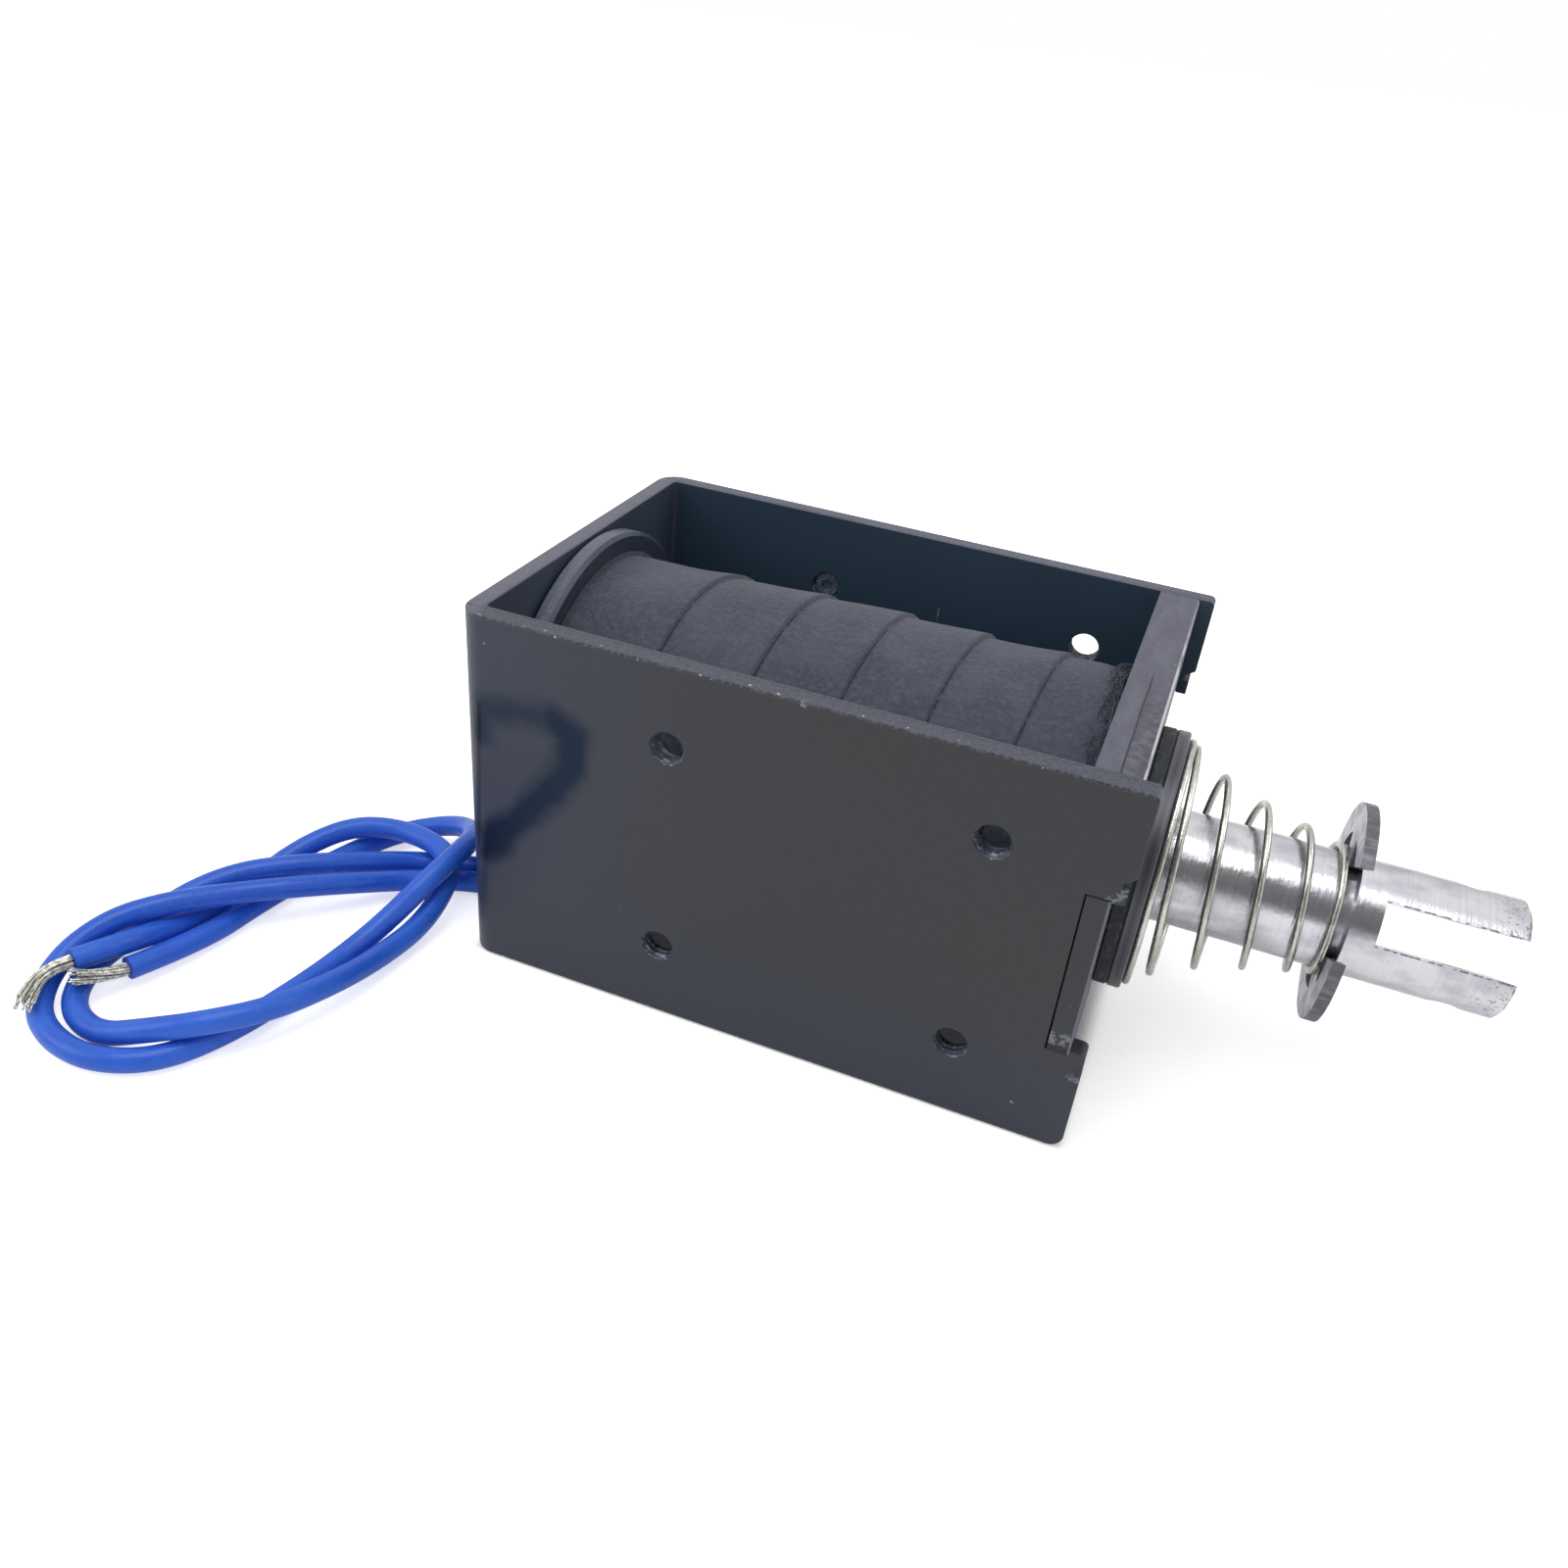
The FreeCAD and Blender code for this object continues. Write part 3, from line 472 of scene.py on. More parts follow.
tinned_copper = make_tinned_copper()
for name, seed in (("lead_a", 11), ("lead_b", 23)):
    strands = twist_strands("bare_strands_" + name[-1], strand_ends[name], seed)
    strands.data.materials.append(tinned_copper)
    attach(strands, "frame")
    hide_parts(name + "_strands")
    lead, start, length = leads[name]
    tuple(in_row(start)[0])

# ---------------------------------------------------------------- yoke
# One strip of 2.5 mm steel, pierced, bent into a channel and blackened in a hot oxide bath.  Its
# faces are blue black and uneven, and the sheared rims at top and bottom are greyer and scratched.
# Smear: 1 on the straight line from Start to End, and 0 beyond Width from it with a soft edge.
smear, given, results = new_group("smear", (
    ("Vector", "Vector", None), ("Start", "Vector", None), ("End", "Vector", None),
    ("Width", "Float", 0.001), ("Soft", "Float", 0.5)), ("Mask",))
reach = reckon_vector("SUBTRACT", given["End"], given["Start"])
gone = reckon_vector("SUBTRACT", given["Vector"], given["Start"])
share = reckon("DIVIDE", *[reckon_vector("DOT_PRODUCT", first, reach, output="Value")
                           for first in (gone, reach)], use_clamp=True)
beside = reckon_vector("DISTANCE", gone, reckon_vector("SCALE", reach, Scale=share), output="Value")
feed(results["Mask"], 1.0 - soft_step(beside / given["Width"], 1.0 - given["Soft"], 1.0))


def smear_along(flat, spots, width, soft=0.5):
    """The highest of the smears between points of the near wall, in mm from the back wall and up."""
    total = 0.0
    for ends in zip(spots, spots[1:]):
        start, end = [(along * 0.001 + back_wall, 0.0, up * 0.001) for along, up in ends]
        total = use_group(smear, flat, Start=start, End=end, Width=width, Soft=soft)["Mask"] | total
    return total


def blacken(name, seed, streaks, marks):
    """Blackened steel with soft tones of oxide, faint grain, and grey rims at top and foot.

    The rim mask is 1 within 0.25 mm of heights 0 and 48 mm, and its scratches run along the axis on
    which streaks is smallest.  marks(tint, rough, place, rim) adds more marks and painted light, and
    gives back the tint, the roughness and, where it changes, the metallic value.
    """
    finish, place = new_finish(name, IOR=1.5)
    x, _, z = split(place)
    moved = object_place(place.tree, Location=(seed, seed * 0.7, seed * 0.3))
    cloud = blotch(moved, 42.0, 0.36, 0.66, 4.0)
    grain = blotch(moved, 2600.0, 0.3, 0.8)
    tint = mix(cloud, (41, 43, 49), (46, 46, 51))
    tint = mix(between(x, -0.020, -0.056), tint, (46, 52, 70))
    tint = mix(between(z, 0.022, 0.004), tint, (41, 47, 62))
    tint = mix(grain * 0.16, tint, (66, 68, 76))
    rim = between(abs(z - axis_height), 0.02362, 0.02385)
    worn = blotch(object_place(place.tree, Scale=streaks), 500.0, 0.35, 0.75, 5.0)
    rim_tint = mix(between(x, -0.0540, -0.0566), (84, 84, 101), (100, 101, 114))
    rim_tint = mix(worn * 0.55, rim_tint, (116, 117, 134))
    rim_tint = mix(grain * 0.5, rim_tint, (70, 72, 84))
    tint = mix(rim, tint, rim_tint)
    tint = mix(blotch(moved, 620.0, 0.81, 0.84, 1.0), tint, (140, 140, 144))
    rough = blend(rim, ramp(cloud, 0.34, 0.44), 0.5)
    tint, rough, metallic = marks(tint, rough, place, rim)
    return dress(finish, tint, rough, [(noise(moved, 900.0, 4.0), 0.00002)], metallic)


# Points of the dark blue hook of painted reflection on the near wall, in mm from the back wall and up.
reflection_hook_stem = ((12.6, 37.4), (15.0, 36.0), (14.8, 32.3), (11.4, 27.0), (7.3, 21.9), (4.0, 17.9),
             (2.4, 16.6))
reflection_hook_top = ((12.6, 37.4), (8.1, 37.2), (3.6, 36.0), (2.9, 33.0))
wall_nicks = (
    (((76.3, 34.6), (77.2, 36.3)), 0.0008, 0.7),
    (((75.2, 15.3), (75.8, 16.3), (74.0, 16.3)), 0.0005, 0.7),
    (((76.9, 11.1), (77.9, 10.9)), 0.0007, 0.8),
)


def near_wall_marks_and_painted_light(tint, rough, place, rim):
    """A painted reflection shaped as a dark blue hook on the near wall, teal oxide inside the yoke, a
    line of painted shade near the wall's left edge, and small nicks.

    The photograph shows the hook, and doesn't tell whether it is a tint or a reflection.  The hook is a
    painted reflection that stays on the wall: a chain of smears whose points are pushed about by noise.
    The outer edge of the rim is a broken dark line where the shear tore it, with bright specks painted
    along it as glints.
    """
    x, y, z = split(place)
    push = put(place.tree, "ShaderNodeTexNoise", {"Vector": place, "Scale": 220.0, "Detail": 2.0})
    push = reckon_vector("SUBTRACT", Value(push.outputs["Color"]), (0.5, 0.5, 0.5))
    flat = join(place.tree, X=x, Z=z)
    soft = reckon_vector("ADD", flat, reckon_vector("SCALE", push, Scale=0.0024))
    outside = between(y, -0.0264, -0.0267)
    torn = blotch(place, 2600.0, 0.42, 0.58, 4.0)
    inside = between(x, -0.0556, -0.0553) * between(abs(y), 0.02466, 0.02456)
    tint = mix(inside, tint, mix(between(x, -0.0551, -0.0540), (60, 69, 86), (46, 66, 84)))
    # Painted reflection: a dark blue hook, shinier and metallic, that stays on the wall.
    reflection_hook = smear_along(soft, reflection_hook_stem, 0.0034, 0.8) | smear_along(soft, reflection_hook_top, 0.0030, 1.0) * 0.75
    reflection_hook = reflection_hook * outside
    tint = mix(reflection_hook, tint, (38, 49, 66))
    # Painted shade: a near black line along the start of the bend at the near wall's left edge.
    left = smear_along(flat, ((2.7, 36.7), (2.0, 18.8)), 0.0004, 0.6)
    tint = mix(left * outside * 0.7, tint, (10, 12, 18))
    near_rim = rim * between(y, -0.010, -0.0235) * between(x, -0.0560, -0.0540)
    tint = mix(near_rim, tint, mix(torn, (76, 78, 90), (62, 64, 76)))
    tint = mix(rim * torn * between(y, -0.02678, -0.02694), tint, (40, 42, 50))
    lip = between(abs(abs(y) - 0.0250), 0.00018, 0.00008) * rim * (torn + 0.2)
    tint = mix(lip, tint, (48, 50, 60))
    # Painted glints: bright specks along the outer edge of the near rim.
    glints = rim * blotch(place, 1300.0, 0.67, 0.71, 1.0) * between(y, -0.0262, -0.0265)
    tint = mix(glints, tint, (190, 193, 202))
    nicks = smear_along(flat, ((41.5, 47.9), (41.7, 47.6)), 0.00035, 0.6)
    for spots, width, softness in wall_nicks:
        nicks = smear_along(soft, spots, width, softness) | nicks
    tint = mix(nicks * outside * torn, tint, (116, 122, 136))
    return tint, blend(reflection_hook, rough, 0.30), reflection_hook


refinish("yoke", blacken("blackened_yoke", 0.0, (0.25, 1.0, 1.0), near_wall_marks_and_painted_light))


# ---------------------------------------------------------------- threads
# Four holes in each side wall are tapped M5.  The tap leaves a spiral ridge round each hole, cut
# bright and then blackened with the wall.
thread_pitch = 0.0008
thread_crest, thread_root = 0.00186, 0.00212
hole_columns = (-0.0312, 0.0056)
hole_heights = (0.01015, 0.03785)


def cut_thread(name):
    """The inner faces of all the tapped holes as one mesh.

    At turn t and depth d the radius is root less the thread depth times a pointed wave of
    d / pitch - t / full turn, and it comes back to the root within 0.3 mm of each face.
    """
    turn = np.linspace(0, 2 * math.pi, 40, endpoint=False)
    depth = np.linspace(0.00004, 0.00246, 49)
    deep, swing = np.meshgrid(depth, turn, indexing="ij")
    phase = (deep / thread_pitch - swing / (2 * math.pi)) % 1.0
    wave = np.clip(1.25 * (1 - np.abs(2 * phase - 1)), 0, 1)
    from_face = np.minimum(deep, wall_thick - deep)
    radius = thread_root - (thread_root - thread_crest) * wave * np.clip(from_face / 0.0003, 0, 1)
    corners, faces, used = [], [], 0
    for outer in (-wall_outer, wall_outer):
        way = -np.sign(outer)
        for along in hole_columns:
            for height in hole_heights:
                spots = np.stack((along + radius * np.cos(swing), outer + way * deep,
                                  height + radius * np.sin(swing)), axis=-1)
                quads = grid_faces(len(depth), len(turn), used, wrap=True)
                corners.append(spots.reshape(-1, 3))
                faces.append(quads if way < 0 else quads[:, ::-1])
                used += spots.shape[0] * spots.shape[1]
    return mesh_object(name, np.concatenate(corners), faces)


def make_tapped_steel(name, dark, light):
    """Black oxide on cut steel, worn to grey in flecks, some of them bright."""
    finish, place = new_finish(name, Metallic=0.35)
    worn = blotch(place, 900.0, 0.45, 0.7)
    tint = mix(blotch(place, 2400.0, 0.60, 0.66), mix(worn, dark, light), (158, 160, 170))
    return dress(finish, tint, ramp(worn, 0.5, 0.3))


threads = cut_thread("tapped_threads")
threads.data.materials.append(make_tapped_steel("tapped_steel", (68, 73, 88), (116, 120, 134)))
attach(threads, "frame")


# One far hole, the upper one at the back, shows closed.  A blackened set screw stands in it.
def turn_set_screw(name):
    """A short headless screw: rings of corners at given radii and depths, with a hexagonal socket.

    The socket's radius at angle a is 0.8 mm over the cosine of a folded into 30 degrees either way.
    """
    turn = np.linspace(0, 2 * math.pi, 48, endpoint=False)
    socket = 0.0008 / np.cos((turn + math.pi / 6) % (math.pi / 3) - math.pi / 6)
    rows = []
    for radius, depth in ((0.0, 0.0254), (0.97 * socket, 0.0254), (socket, 0.0249), (0.0016, 0.0249),
                          (0.00184, 0.0251), (0.00184, 0.0266), (0.0, 0.0266)):
        radius = np.broadcast_to(radius, turn.shape)
        rows.append(np.stack((hole_columns[0] + radius * np.cos(turn), np.full_like(turn, depth),
                              hole_heights[1] + radius * np.sin(turn)), axis=-1))
    faces = grid_faces(len(rows), len(turn), wrap=True)
    return mesh_object(name, np.concatenate(rows), [faces], smooth=False)


set_screw = turn_set_screw("set_screw")
set_screw.data.materials.append(make_tapped_steel("screw_steel", (88, 102, 120), (118, 130, 146)))
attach(set_screw, "frame")


# ---------------------------------------------------------------- closing plates
# Two stamped plates close the front.  The outer one has side tabs that sit in slots of the yoke,
# staked over by fingers of the wall, and its top and bottom front edges are filed bare, with a
# painted highlight on them.
def plate_gap_shade(tint, rough, place, rim):
    """Painted shade in the gap between the two plates, where it is open on the near half of their tops."""
    x, y, _ = split(place)
    off = abs(x + (noise(place, 260.0) - 0.5) * 0.0002 - 0.01595)
    # Painted shade: a dark line along the gap between the plates.
    painted_shade_line = between(off, 0.00017, 0.00007) * between(y, 0.001, -0.003) * rim
    return mix(painted_shade_line, tint, (24, 26, 34)), rough, None


def filed_edge_and_painted_light(tint, rough, place, rim):
    """Bare metal with a painted highlight on the outer plate's filed edges, duller bare metal on its tabs'
    front edges, and painted shade in the gap between the plates and at each tab's foot.
    """
    tint = plate_gap_shade(tint, rough, place, rim)[0]
    x, y, z = split(place)
    level = between(abs(z - axis_height), 0.02366, 0.02376)
    front = between(x, 0.01814, 0.01826)
    broken = blotch(object_place(place.tree, Scale=(1, 0.25, 1)), 500.0, 0.28, 0.46)
    # Painted highlight on the bare filed edges, fading towards the far end.
    bare_and_highlight = level * front * broken * ramp(y, 0.35, 1.0, 0.016, 0.008)
    rubbed = blotch(place, 900.0, 0.35, 0.60, 5.0) * rim * between(y, 0.002, -0.012)
    tint = mix(rubbed * 0.75, tint, (56, 56, 62))
    tint = mix(bare_and_highlight, tint, (205, 207, 214))
    tab = between(y, -0.0264, -0.0267)
    staked = tab * blotch(place, 1500.0, 0.48, 0.56, 4.0)
    staked = staked * between(z, 0.0168, 0.0160) * between(z, 0.0146, 0.0148)
    tint = mix(staked, tint, (118, 122, 128))
    # Painted shade at each tab's foot, where it meets its slot in the wall.
    tint = mix(tab * between(z, 0.01465, 0.01455), tint, (8, 9, 12))
    tint = mix(front * tab * (1.0 - level) * 0.8, tint, (112, 114, 126))
    return tint, rough, None


refinish("front_plate_inner", blacken("blackened_inner_plate", 0.31, (1.0, 0.25, 1.0), plate_gap_shade))
refinish("front_plate_outer", blacken("blackened_outer_plate", 0.57, (1.0, 0.25, 1.0), filed_edge_and_painted_light))


# ---------------------------------------------------------------- pole and guide tube
# The fixed pole is turned from soft iron and spun over outside the back wall.  A thin drawn brass
# tube lines the bore from the pole to the closing plates.
def turned_metal(name, light, dark, smooth, dull, ring_scale, depth):
    """Metal turned on a lathe: rings in its colour and height, and duller blotches."""
    finish, place = new_finish(name, Metallic=1.0)
    marks = use_group(rings, place, Scale=ring_scale)["Mask"]
    stain = blotch(place, 260.0, 0.38, 0.68, 4.0)
    return dress(finish, mix((marks + stain) * 0.5, light, dark), ramp(stain, smooth, dull),
                 [(marks, depth)])


refinish("fixed_pole", turned_metal("soft_iron", (176, 176, 172), (120, 120, 118),
                                    0.32, 0.5, 5200.0, 0.00002))
refinish("guide_tube", turned_metal("drawn_brass", (214, 182, 110), (170, 134, 70),
                                    0.24, 0.42, 3000.0, 0.00001))


# ---------------------------------------------------------------- bobbin and winding
# The spool is moulded in black glass filled nylon.  Enamelled copper wire is wound on it in layers
# and wrapped in clear amber film.
winding_half = 0.000225


def make_bobbin_plastic():
    """Black moulded nylon with a faint grey bloom of glass fibre, and the rims painted lighter as a
    highlight.
    """
    finish, place = new_finish("moulded_nylon", IOR=1.53)
    fibre = blotch(place, 1500.0, 0.45, 0.75, 5.0)
    # The rims are painted lighter as a highlight.
    rim = between(use_group(rings, place)["Radius"], 0.02381, 0.02387)
    tint = mix(rim, mix(fibre, (46, 54, 70), (60, 68, 84)), mix(fibre, (84, 90, 105), (106, 112, 126)))
    return dress(finish, tint, ramp(fibre, 0.38, 0.55), [(fibre, 0.00002)])


def make_winding_copper():
    """Turns of enamelled wire side by side: a ridge every 0.45 mm along the spool."""
    finish, place = new_finish("enamelled_copper", Metallic=0.9, Roughness=0.28)
    ridge = reckon("PINGPONG", split(place)[0], winding_half) / winding_half
    tint = mix(blotch(place, 300.0, 0.3, 0.7), (176, 92, 48), (140, 66, 34))
    return dress(finish, tint, bumps=[(ridge, 0.0001)])


def wrinkled(name, scales, scale, first, second, smooth, dull, **constants):
    """A thin plastic skin whose wrinkles change its colour, gloss and height."""
    finish, place = new_finish(name, **constants)
    wrinkle = blotch(object_place(place.tree, Scale=scales), scale, 0.4, 0.7)
    return dress(finish, mix(wrinkle, first, second), ramp(wrinkle, smooth, dull), [(wrinkle, 0.00005)])


refinish("bobbin", make_bobbin_plastic())
refinish("coil_winding", make_winding_copper())
refinish("insulation_film", wrinkled("amber_film", (1.0, 0.4, 0.4), 700.0, (172, 122, 52),
                                     (196, 150, 80), 0.12, 0.3, Coat_Weight=0.3))


# ---------------------------------------------------------------- coil tape
# Black cotton tape is wound round the coil from the closing plates to the rear flange, each lap half
# over the one before, so that a slanting edge shows every 10 mm or so.
tape_start, tape_end = -0.05248, 0.01302
tape_mean = 0.0215
lap_width = 0.0105
lap_marks = (-4.0, 8.2, 19.4, 31.6, 42.3, 52.5, 62.6, 73.5, 84.0)


# Weave: over and under yarns as the product of two waves, with every yarn a little different.
weave, given, results = new_group("weave", (
    ("Vector", "Vector", None), ("Yarn", "Float", 0.0004)), ("Height", "Shade"))
warp, weft = [reckon("COSINE", part / given["Yarn"] * math.pi) for part in split(given["Vector"])[:2]]
woven = ramp(warp * weft, 0.0, 1.0, -1.0, 1.0)
yarns = noise(given["Vector"], 2200.0, 3.0)
feed(results["Height"], woven + yarns * 0.8)
feed(results["Shade"], woven * yarns)


def make_cloth(name, on_surface):
    """Black cotton tape: fine yarns, a dusty bloom in soft blotches, and a painted shadow line under each
    lap's edge.

    On the wound tape the yarns follow its UV map, and elsewhere the way round the coil.
    """
    finish, place = new_finish(name, Sheen_Weight=0.15, Sheen_Roughness=0.5, Roughness=0.85)
    x, y, z = split(place)
    if on_surface:
        lay = Value(put(place.tree, "ShaderNodeUVMap").outputs["UV"])
    else:
        lay = join(place.tree, X=reckon("ARCTAN2", y, z - axis_height) * tape_mean, Y=x)
    yarn = use_group(weave, lay, Yarn=0.00021)
    creased = blotch(place, 1500.0, 0.38, 0.72, 5.0)
    tint = mix(blotch(place, 150.0, 0.36, 0.66, 6.0), (53, 56, 70), (67, 71, 87))
    tint = mix(creased * 0.5, tint, (88, 93, 110))
    tint = mix(yarn["Shade"] * 0.5, tint, (84, 89, 107))
    if on_surface:
        # Painted shadow: a dark line under each lap's edge.
        painted_shade_line = between(reckon("FRACT", split(lay)[1] / lap_width), 0.026, 0.008)
        painted_shade_line = painted_shade_line * blotch(place, 700.0, 0.30, 0.50) * between(x, -0.0472, -0.0450)
        tint = mix(painted_shade_line, tint, (22, 23, 30))
    return dress(finish, tint, bumps=[(yarn["Height"] * 0.4 + creased, 0.00006)])


def wrap_tape(name):
    """The outside of the taped coil, as turn t round the axis and lap number s along it.

    The place along X is lap_marks read at s - t / full turn, so a lap's edge runs as a spiral.  The
    radius rises over each lap and drops at its edge, with slow waves that are strongest on top, and
    it falls away towards the rear flange.
    """
    turn = np.linspace(-math.pi, math.pi, 241)
    inside = np.r_[0.0, 0.01, 0.02, 0.045, np.linspace(0.09, 0.92, 20), 0.955, 0.98, 0.992]
    laps = (np.arange(-1, 9)[:, None] + inside[None]).ravel()
    swing, lap = np.meshgrid(turn, laps, indexing="ij")
    raw = np.interp(lap - swing / (2 * math.pi), np.arange(len(lap_marks)), lap_marks) * 0.001
    along = np.clip(raw + back_wall, tape_start, tape_end)
    part = lap % 1.0
    step = 0.00052 * part ** 1.3 * np.clip((1 - part) / 0.01, 0, 1) * (lap >= 1)
    top = 0.5 + 0.5 * np.cos(swing)
    chance = np.random.default_rng(5)
    ripple = np.zeros_like(along)
    for _ in range(16):
        round_waves = chance.integers(1, 7)
        length_waves = chance.uniform(60, 420)
        ripple += np.sin(round_waves * swing + length_waves * along + chance.uniform(0, 6.3))
    radius = (0.02118 + step * (0.5 + 0.5 * top) + 0.00005 * ripple * (0.3 + 0.7 * top)
              + 0.0028 * (along + 0.03))
    rear = np.clip((along - tape_start) / 0.014, 0, 1)
    front = np.clip((tape_end - along) / 0.004, 0, 1)
    radius -= 0.00058 * (1 - rear) ** 1.6 + 0.0007 * (1 - front) ** 2
    corners = np.stack((along, -radius * np.sin(swing), axis_height + radius * np.cos(swing)), axis=-1)
    quads = grid_faces(len(turn), len(laps))
    x = along.ravel()[quads]
    kept = quads[np.ptp(x, axis=1) > 1e-7][:, ::-1]
    rim_turn = turn[:-1]
    rims, used = [], along.size
    rim_corners = []
    for place in (tape_start, tape_end):
        for reach in (0.0214, 0.02018):
            rim_corners.append(np.stack((np.full_like(rim_turn, place), -reach * np.sin(rim_turn),
                                         axis_height + reach * np.cos(rim_turn)), axis=-1))
        quads = grid_faces(2, len(rim_turn), used, wrap=True)
        rims.append(quads if place == tape_end else quads[:, ::-1])
        used += 2 * len(rim_turn)
    piece = mesh_object(name, np.concatenate([corners.reshape(-1, 3)] + rim_corners), [kept] + rims)
    sheet = np.stack((tape_mean * swing, lap * lap_width), axis=-1).reshape(-1, 2)
    sheet = np.concatenate((sheet, np.concatenate(rim_corners)[:, 1:]))
    loops = np.empty(len(piece.data.loops), dtype=np.int32)
    piece.data.loops.foreach_get("vertex_index", loops)
    piece.data.uv_layers.new(name="UVMap").data.foreach_set("uv", sheet[loops].ravel())
    return piece


cotton_tape = make_cloth("cotton_tape", True)
tape = wrap_tape("wound_tape")
tape.data.materials.append(cotton_tape)
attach(tape, "frame")
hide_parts("tape_wrap")


# Loose yarns along the tape's cut edge beside the closing plates, and one long one on top.
def fray_tape(name):
    """Short yarns that leave the edge at all angles: each is a bent three sided tube."""
    chance = np.random.default_rng(8)
    corners, faces, used = [], [], 0
    bend = np.linspace(0, 1, 6)
    for index in range(330):
        swing = chance.uniform(-1.9, 1.9)
        reach = chance.uniform(0.0004, 0.0016)
        lean, lift = chance.normal(0, 1.1), chance.uniform(0.1, 0.7)
        start = tape_end - chance.uniform(0.0001, 0.0022)
        out = 0.02090 + 0.0003 * (tape_end - start) / 0.001 + reach * lift * bend * (2 - bend)
        angle = swing + lean * reach / tape_mean * bend * 4
        along = np.minimum(start + reach * bend * 0.9, 0.01338)
        path = np.stack((along, -out * np.sin(angle), axis_height + out * np.cos(angle)), axis=-1)
        corners.append(tube_grid(path, 0.000055, 3).reshape(-1, 3))
        faces += tube_faces(len(path), 3, used)
        used += len(path) * 3
    bend = np.linspace(0, 1, 14)
    out = 0.0216 + 0.0026 * np.sin(bend * 2.2)
    path = np.stack((-0.0110 + 0.0012 * bend, -out * np.sin(0.25 * bend - 0.3),
                     axis_height + out * np.cos(0.25 * bend - 0.3)), axis=-1)
    corners.append(tube_grid(path, 0.00004, 4).reshape(-1, 3))
    faces += tube_faces(len(path), 4, used)
    return mesh_object(name, np.concatenate(corners), faces)


fray = fray_tape("frayed_yarns")
fray.data.materials.append(make_cloth("loose_yarn", False))
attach(fray, "frame")


# ---------------------------------------------------------------- joints under the tape patch
# Each lead is soldered to the winding under a shrunk sleeve, and a short piece of the same tape
# holds both sleeves down on the coil.
shrunk_sleeve = wrinkled("shrunk_sleeve", (3.0, 1.0, 1.0), 600.0, (28, 28, 30), (46, 46, 50),
                         0.35, 0.55, IOR=1.48)
refinish("lead_joint_inner", shrunk_sleeve)
refinish("lead_joint_outer", shrunk_sleeve)
refinish("lead_tape_patch", make_cloth("patch_tape", False))


# ---------------------------------------------------------------- washers
# A pressed fibre washer cushions the plunger's stop, and a blackened steel washer in front of it
# gives the spring a hard seat.
def make_pressed_fibre():
    """Vulcanised fibre: nearly black, matt, with pale flecks and a coarse cut edge."""
    finish, place = new_finish("pressed_fibre", IOR=1.5)
    fleck = blotch(object_place(place.tree, Scale=(2.0, 1.0, 1.0)), 560.0, 0.5, 0.72, 6.0)
    return dress(finish, mix(fleck, (42, 46, 56), (86, 91, 104)), ramp(fleck, 0.6, 0.85),
                 [(noise(place, 1600.0, 5.0), 0.00012)])


def make_blackened_washer():
    """Blackened steel turned to a smooth ring, with rubbed rings where the spring moves on it."""
    finish, place = new_finish("blackened_washer", Metallic=0.3)
    lathe = use_group(rings, place, Scale=1500.0, Low=0.2, High=0.9)
    marks = lathe["Mask"]
    tint = mix(marks, (64, 67, 78), (72, 75, 86))
    tint = mix(between(lathe["Radius"], 0.0136, 0.0146) * marks * 0.5, tint, (140, 140, 140))
    return dress(finish, tint, ramp(marks, 0.3, 0.42), [(marks, 0.000005)])


refinish("cushion_washer", make_pressed_fibre())
refinish("spring_seat_washer", make_blackened_washer())


# ---------------------------------------------------------------- return spring
# Stainless spring wire coiled to a cone.  Its wide end coil is closed on the washer, and its narrow
# end coil grips the plunger behind the clip.
spring_wire = 0.00088
spring_turns = 6.0


def coil_spring(name):
    """A wire along a cone: at turn t the rise r goes from 0 to 1 with an easy start and end.

    The place along X is start + length * r, and the radius is
    tip + (base - tip) * (0.66 * (1 - r) + 0.34 * (1 - r) ** 5).
    """
    turned = np.linspace(0, spring_turns, 6 * 72 + 1)
    share = np.clip((turned - 0.8) / (spring_turns - 1.6), 0, 1)
    rise = share ** 2 * (3 - 2 * share) * 0.35 + share * 0.65
    start, end = back_wall + 0.07994, back_wall + 0.09946
    radius = 0.00749 + (0.0149 - 0.00749) * (0.66 * (1 - rise) + 0.34 * (1 - rise) ** 5)
    angle = math.radians(61.0) + 2 * math.pi * turned
    path = np.stack((start + (end - start) * rise, radius * np.cos(angle),
                     axis_height + radius * np.sin(angle)), axis=-1)
    width = spring_wire / 2 * np.clip(np.minimum(turned, spring_turns - turned) * 90 + 0.8, 0, 1)
    return mesh_object(name, tube_grid(path, width, 14).reshape(-1, 3), tube_faces(len(path), 14))


def make_spring_wire():
    """Drawn stainless wire: silvery with a warm cast, fine draw lines and a few dull spots."""
    finish, place = new_finish("drawn_stainless", Metallic=1.0)
    fine = blotch(object_place(place.tree, Scale=(2.5, 1, 1)), 1500.0, 0.35, 0.7, 4.0)
    dull = blotch(place, 330.0, 0.4, 0.65)
    tint = mix(dull * 0.35, mix(fine, (210, 209, 202), (198, 197, 189)), (150, 146, 136))
    return dress(finish, tint, ramp(dull, 0.18, 0.30), [(fine, 0.00001)])


spring = coil_spring("cone_spring")
spring.data.materials.append(make_spring_wire())
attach(spring, "frame")
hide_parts("return_spring")
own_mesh(spring)


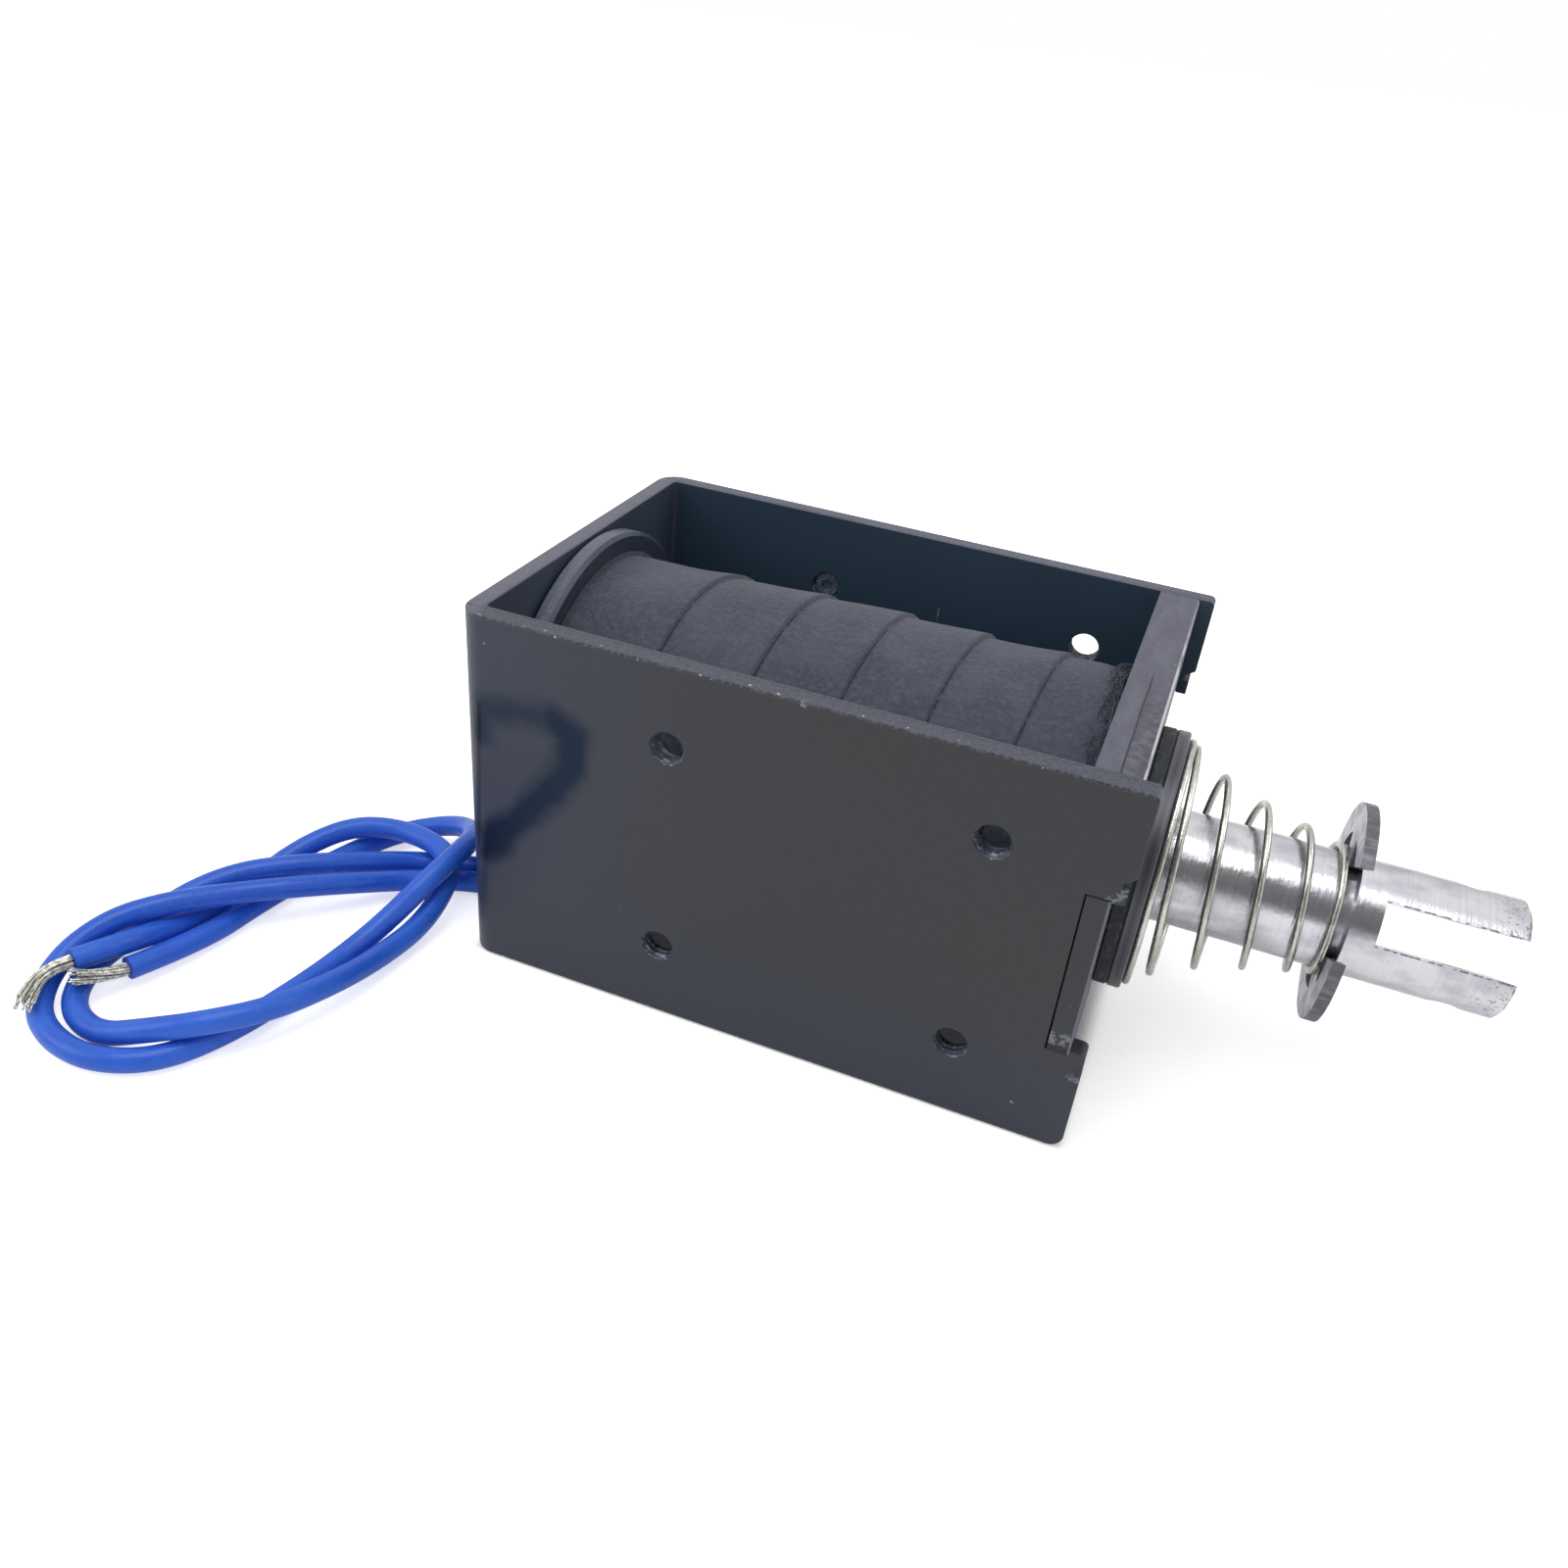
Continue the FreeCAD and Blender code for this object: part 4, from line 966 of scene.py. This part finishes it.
# ---------------------------------------------------------------- retaining clip
# An E clip stamped from hard steel strip and snapped into the plunger's groove.  Its faces keep a
# grey rolled finish and its stamped rim is darker and torn.
def make_clip_steel():
    """Grey hardened strip: cloudy faces, and darker stamped walls with short shear marks."""
    finish, place = new_finish("hardened_strip", Metallic=0.85)
    facing = Value(put(place.tree, "ShaderNodeTexCoord").outputs["Normal"])
    face = between(abs(split(facing)[0]), 0.6, 0.8)
    cloud = blotch(place, 480.0, 0.35, 0.7, 5.0)
    shear = blotch(object_place(place.tree, Scale=(0.15, 1, 1)), 1800.0, 0.4, 0.7)
    tint = mix(face, mix(shear, (98, 98, 104), (122, 122, 130)),
               mix(cloud, (218, 218, 227), (188, 189, 196)))
    return dress(finish, tint, ramp(cloud, 0.36, 0.55), [(shear, 0.00003)])


refinish("retaining_clip", make_clip_steel())


# ---------------------------------------------------------------- plunger and push rod
# The plunger is turned from soft iron, slotted to a fork, drilled across and nickel plated.  The
# push rod is a bright drawn pin pressed into its inner end.
slot_across = (0.0, 0.5299, 0.8480)
slot_middle, slot_half = 0.020352, 0.0025
groove_middle = 0.0429


def make_nickel():
    """Nickel plate over turned iron: rings on the round, torn dark slot edges, and rough specks."""
    finish, place = new_finish("nickel_plate")
    x = split(place)[0]
    lathe = use_group(rings, place, Scale=2600.0, Low=0.25, High=0.75)
    radius = lathe["Radius"]
    cloud = blotch(object_place(place.tree, Scale=(0.6, 1, 1)), 330.0, 0.38, 0.66, 4.0)
    fork = between(x, 0.0565, 0.0605) * blotch(place, 2300.0, 0.54, 0.66, 4.0)
    across = reckon_vector("DOT_PRODUCT", place, slot_across, output="Value")
    flat = abs(abs(across - slot_middle) - slot_half)
    edge = between(flat, 0.00027, 0.00014) * between(radius, 0.00675, 0.0069)
    edge = edge * between(x, 0.0464, 0.0470) | between(x, 0.06115, 0.0614)
    edge = edge * blotch(place, 1500.0, 0.44, 0.56, 5.0)
    # Painted light in the clip's groove: lighter and less metallic than the plate around it.
    groove_painted_light = between(radius, 0.0067, 0.0064) * between(abs(x - groove_middle), 0.00085, 0.00078) * 0.35
    tint = mix(cloud, (221, 221, 226), (192, 192, 200))
    tint = mix(fork, tint, (140, 141, 148))
    tint = mix(edge, tint, (104, 104, 109))
    tint = mix(groove_painted_light, tint, (150, 152, 164))
    tint = mix(lathe["Mask"] * 0.18, tint, (160, 160, 166))
    return dress(finish, tint, ramp(cloud, 0.16, 0.28),
                 [(lathe["Mask"], 0.000007), (noise(place, 1100.0, 4.0), 0.00003)],
                 metallic=ramp(groove_painted_light | edge, 1.0, 0.35))


refinish("plunger", make_nickel())
refinish("push_rod", turned_metal("drawn_pin", (212, 212, 214), (168, 168, 172),
                                  0.2, 0.34, 3200.0, 0.00001))


# ---------------------------------------------------------------- floor, light and camera
# A plain white floor that only keeps the part's shadow, soft lamps above, and the camera at the
# height, turn and lens of the view that the part was measured from.
scene = bpy.context.scene
scene.view_settings.view_transform = "Standard"


def make_floor():
    """A white floor that gives light of its own to the camera, a little to mirrors, none under the yoke.

    That light grows with the distance from the part, so that only the shadow beside it stays.
    """
    mesh = bpy.data.meshes.new("floor")
    reach = 3.0
    mesh.from_pydata([(-reach, -reach, -0.0002), (reach, -reach, -0.0002), (reach, reach, -0.0002),
                      (-reach, reach, -0.0002)], [], [(0, 1, 2, 3)])
    floor = bpy.data.objects.new("floor", mesh)
    scene.collection.objects.link(floor)
    finish, place = new_finish("white_floor", Roughness=0.9, Base_Color=(0.93, 0.93, 0.93, 1))
    tree = finish.node_tree
    level = ramp(reckon_vector("LENGTH", place, output="Value"), 0.52, 1.0, 0.05, 0.22)
    x, y, _ = split(place)
    beside = between(abs(y), 0.0255, 0.0275) | between(abs(x + 0.0187), 0.037, 0.040)
    path = put(tree, "ShaderNodeLightPath").outputs
    seen = Value(path["Is Camera Ray"]) | Value(path["Is Glossy Ray"]) * 0.25
    glow = put(tree, "ShaderNodeEmission", {"Strength": seen * (beside | 0.05) * level})
    both = put(tree, "ShaderNodeAddShader", {
        0: Value(tree.nodes["Principled BSDF"].outputs["BSDF"]), 1: Value(glow.outputs["Emission"])})
    feed(tree.nodes["Material Output"].inputs["Surface"], Value(both.outputs["Shader"]))
    mesh.materials.append(finish)


def make_sky():
    """A white room: white behind the part, dimmer as a lamp, and with a dark place in reflections.

    The dark place lies where the viewer stands, and gives the bright metal its dark bands.
    """
    world = bpy.data.worlds.new("white_room")
    scene.world = world
    world.use_nodes = True
    tree = world.node_tree
    path = put(tree, "ShaderNodeLightPath").outputs
    seen = reckon("ADD", Value(path["Is Camera Ray"]), Value(path["Is Transmission Ray"]), use_clamp=True)
    way = Value(put(tree, "ShaderNodeTexCoord").outputs["Generated"])
    facing = reckon_vector("DOT_PRODUCT", way, (0.26, -0.80, 0.53), output="Value")
    mirrored = ramp(split(way)[2], 0.62, 1.0, -0.1, 0.7) * ramp(facing, 1.0, 0.22, 0.80, 0.93)
    back = tree.nodes["Background"]
    feed(back.inputs["Strength"], blend(seen, blend(Value(path["Is Glossy Ray"]), 0.50, mirrored), 1.0))
    back.inputs["Color"].default_value = (1, 1, 1, 1)


def hang_lamp(name, place, width, power):
    """A square soft lamp aimed at the middle of the yoke."""
    lamp = bpy.data.lights.new(name, "AREA")
    lamp.shape = "SQUARE"
    lamp.size = width
    lamp.energy = power
    holder = bpy.data.objects.new(name, lamp)
    scene.collection.objects.link(holder)
    aim = np.array((0.0, 0.0, 0.02)) - np.array(place)
    aim /= np.linalg.norm(aim)
    side = np.cross(aim, (0.0, 0.0, 1.0) if abs(aim[2]) < 0.99 else (0.0, 1.0, 0.0))
    side /= np.linalg.norm(side)
    turned = np.eye(4)
    turned[:3, 0], turned[:3, 1], turned[:3, 2], turned[:3, 3] = side, np.cross(side, aim), -aim, place
    holder.matrix_world = Matrix(turned.tolist())


def set_camera():
    """The camera 0.25 m in front and to the right, turned a little about its own line of sight."""
    azimuth, elevation, roll = np.radians((18.2348, 32.1070, 6.0385))
    back = np.array((math.sin(azimuth) * math.cos(elevation), -math.cos(azimuth) * math.cos(elevation),
                     math.sin(elevation)))
    right = np.array((math.cos(azimuth), math.sin(azimuth), 0.0))
    up = np.cross(back, right)
    turned = np.eye(4)
    turned[:3, 0] = math.cos(roll) * right + math.sin(roll) * up
    turned[:3, 1] = -math.sin(roll) * right + math.cos(roll) * up
    turned[:3, 2] = back
    turned[:3, 3] = (0.019588, -0.139044, 0.111724)
    lens = bpy.data.cameras.new("camera")
    lens.lens = 30.005
    lens.sensor_width = 36.0
    lens.clip_start = 0.005
    camera = bpy.data.objects.new("camera", lens)
    scene.collection.objects.link(camera)
    camera.matrix_world = Matrix(turned.tolist())
    scene.camera = camera


make_floor()
make_sky()
hang_lamp("lamp_over", (-0.06, -0.10, 0.50), 0.34, 0.95)
hang_lamp("lamp_left", (-0.42, -0.30, 0.30), 0.30, 0.45)
hang_lamp("lamp_right", (0.40, 0.18, 0.36), 0.30, 0.50)
set_camera()
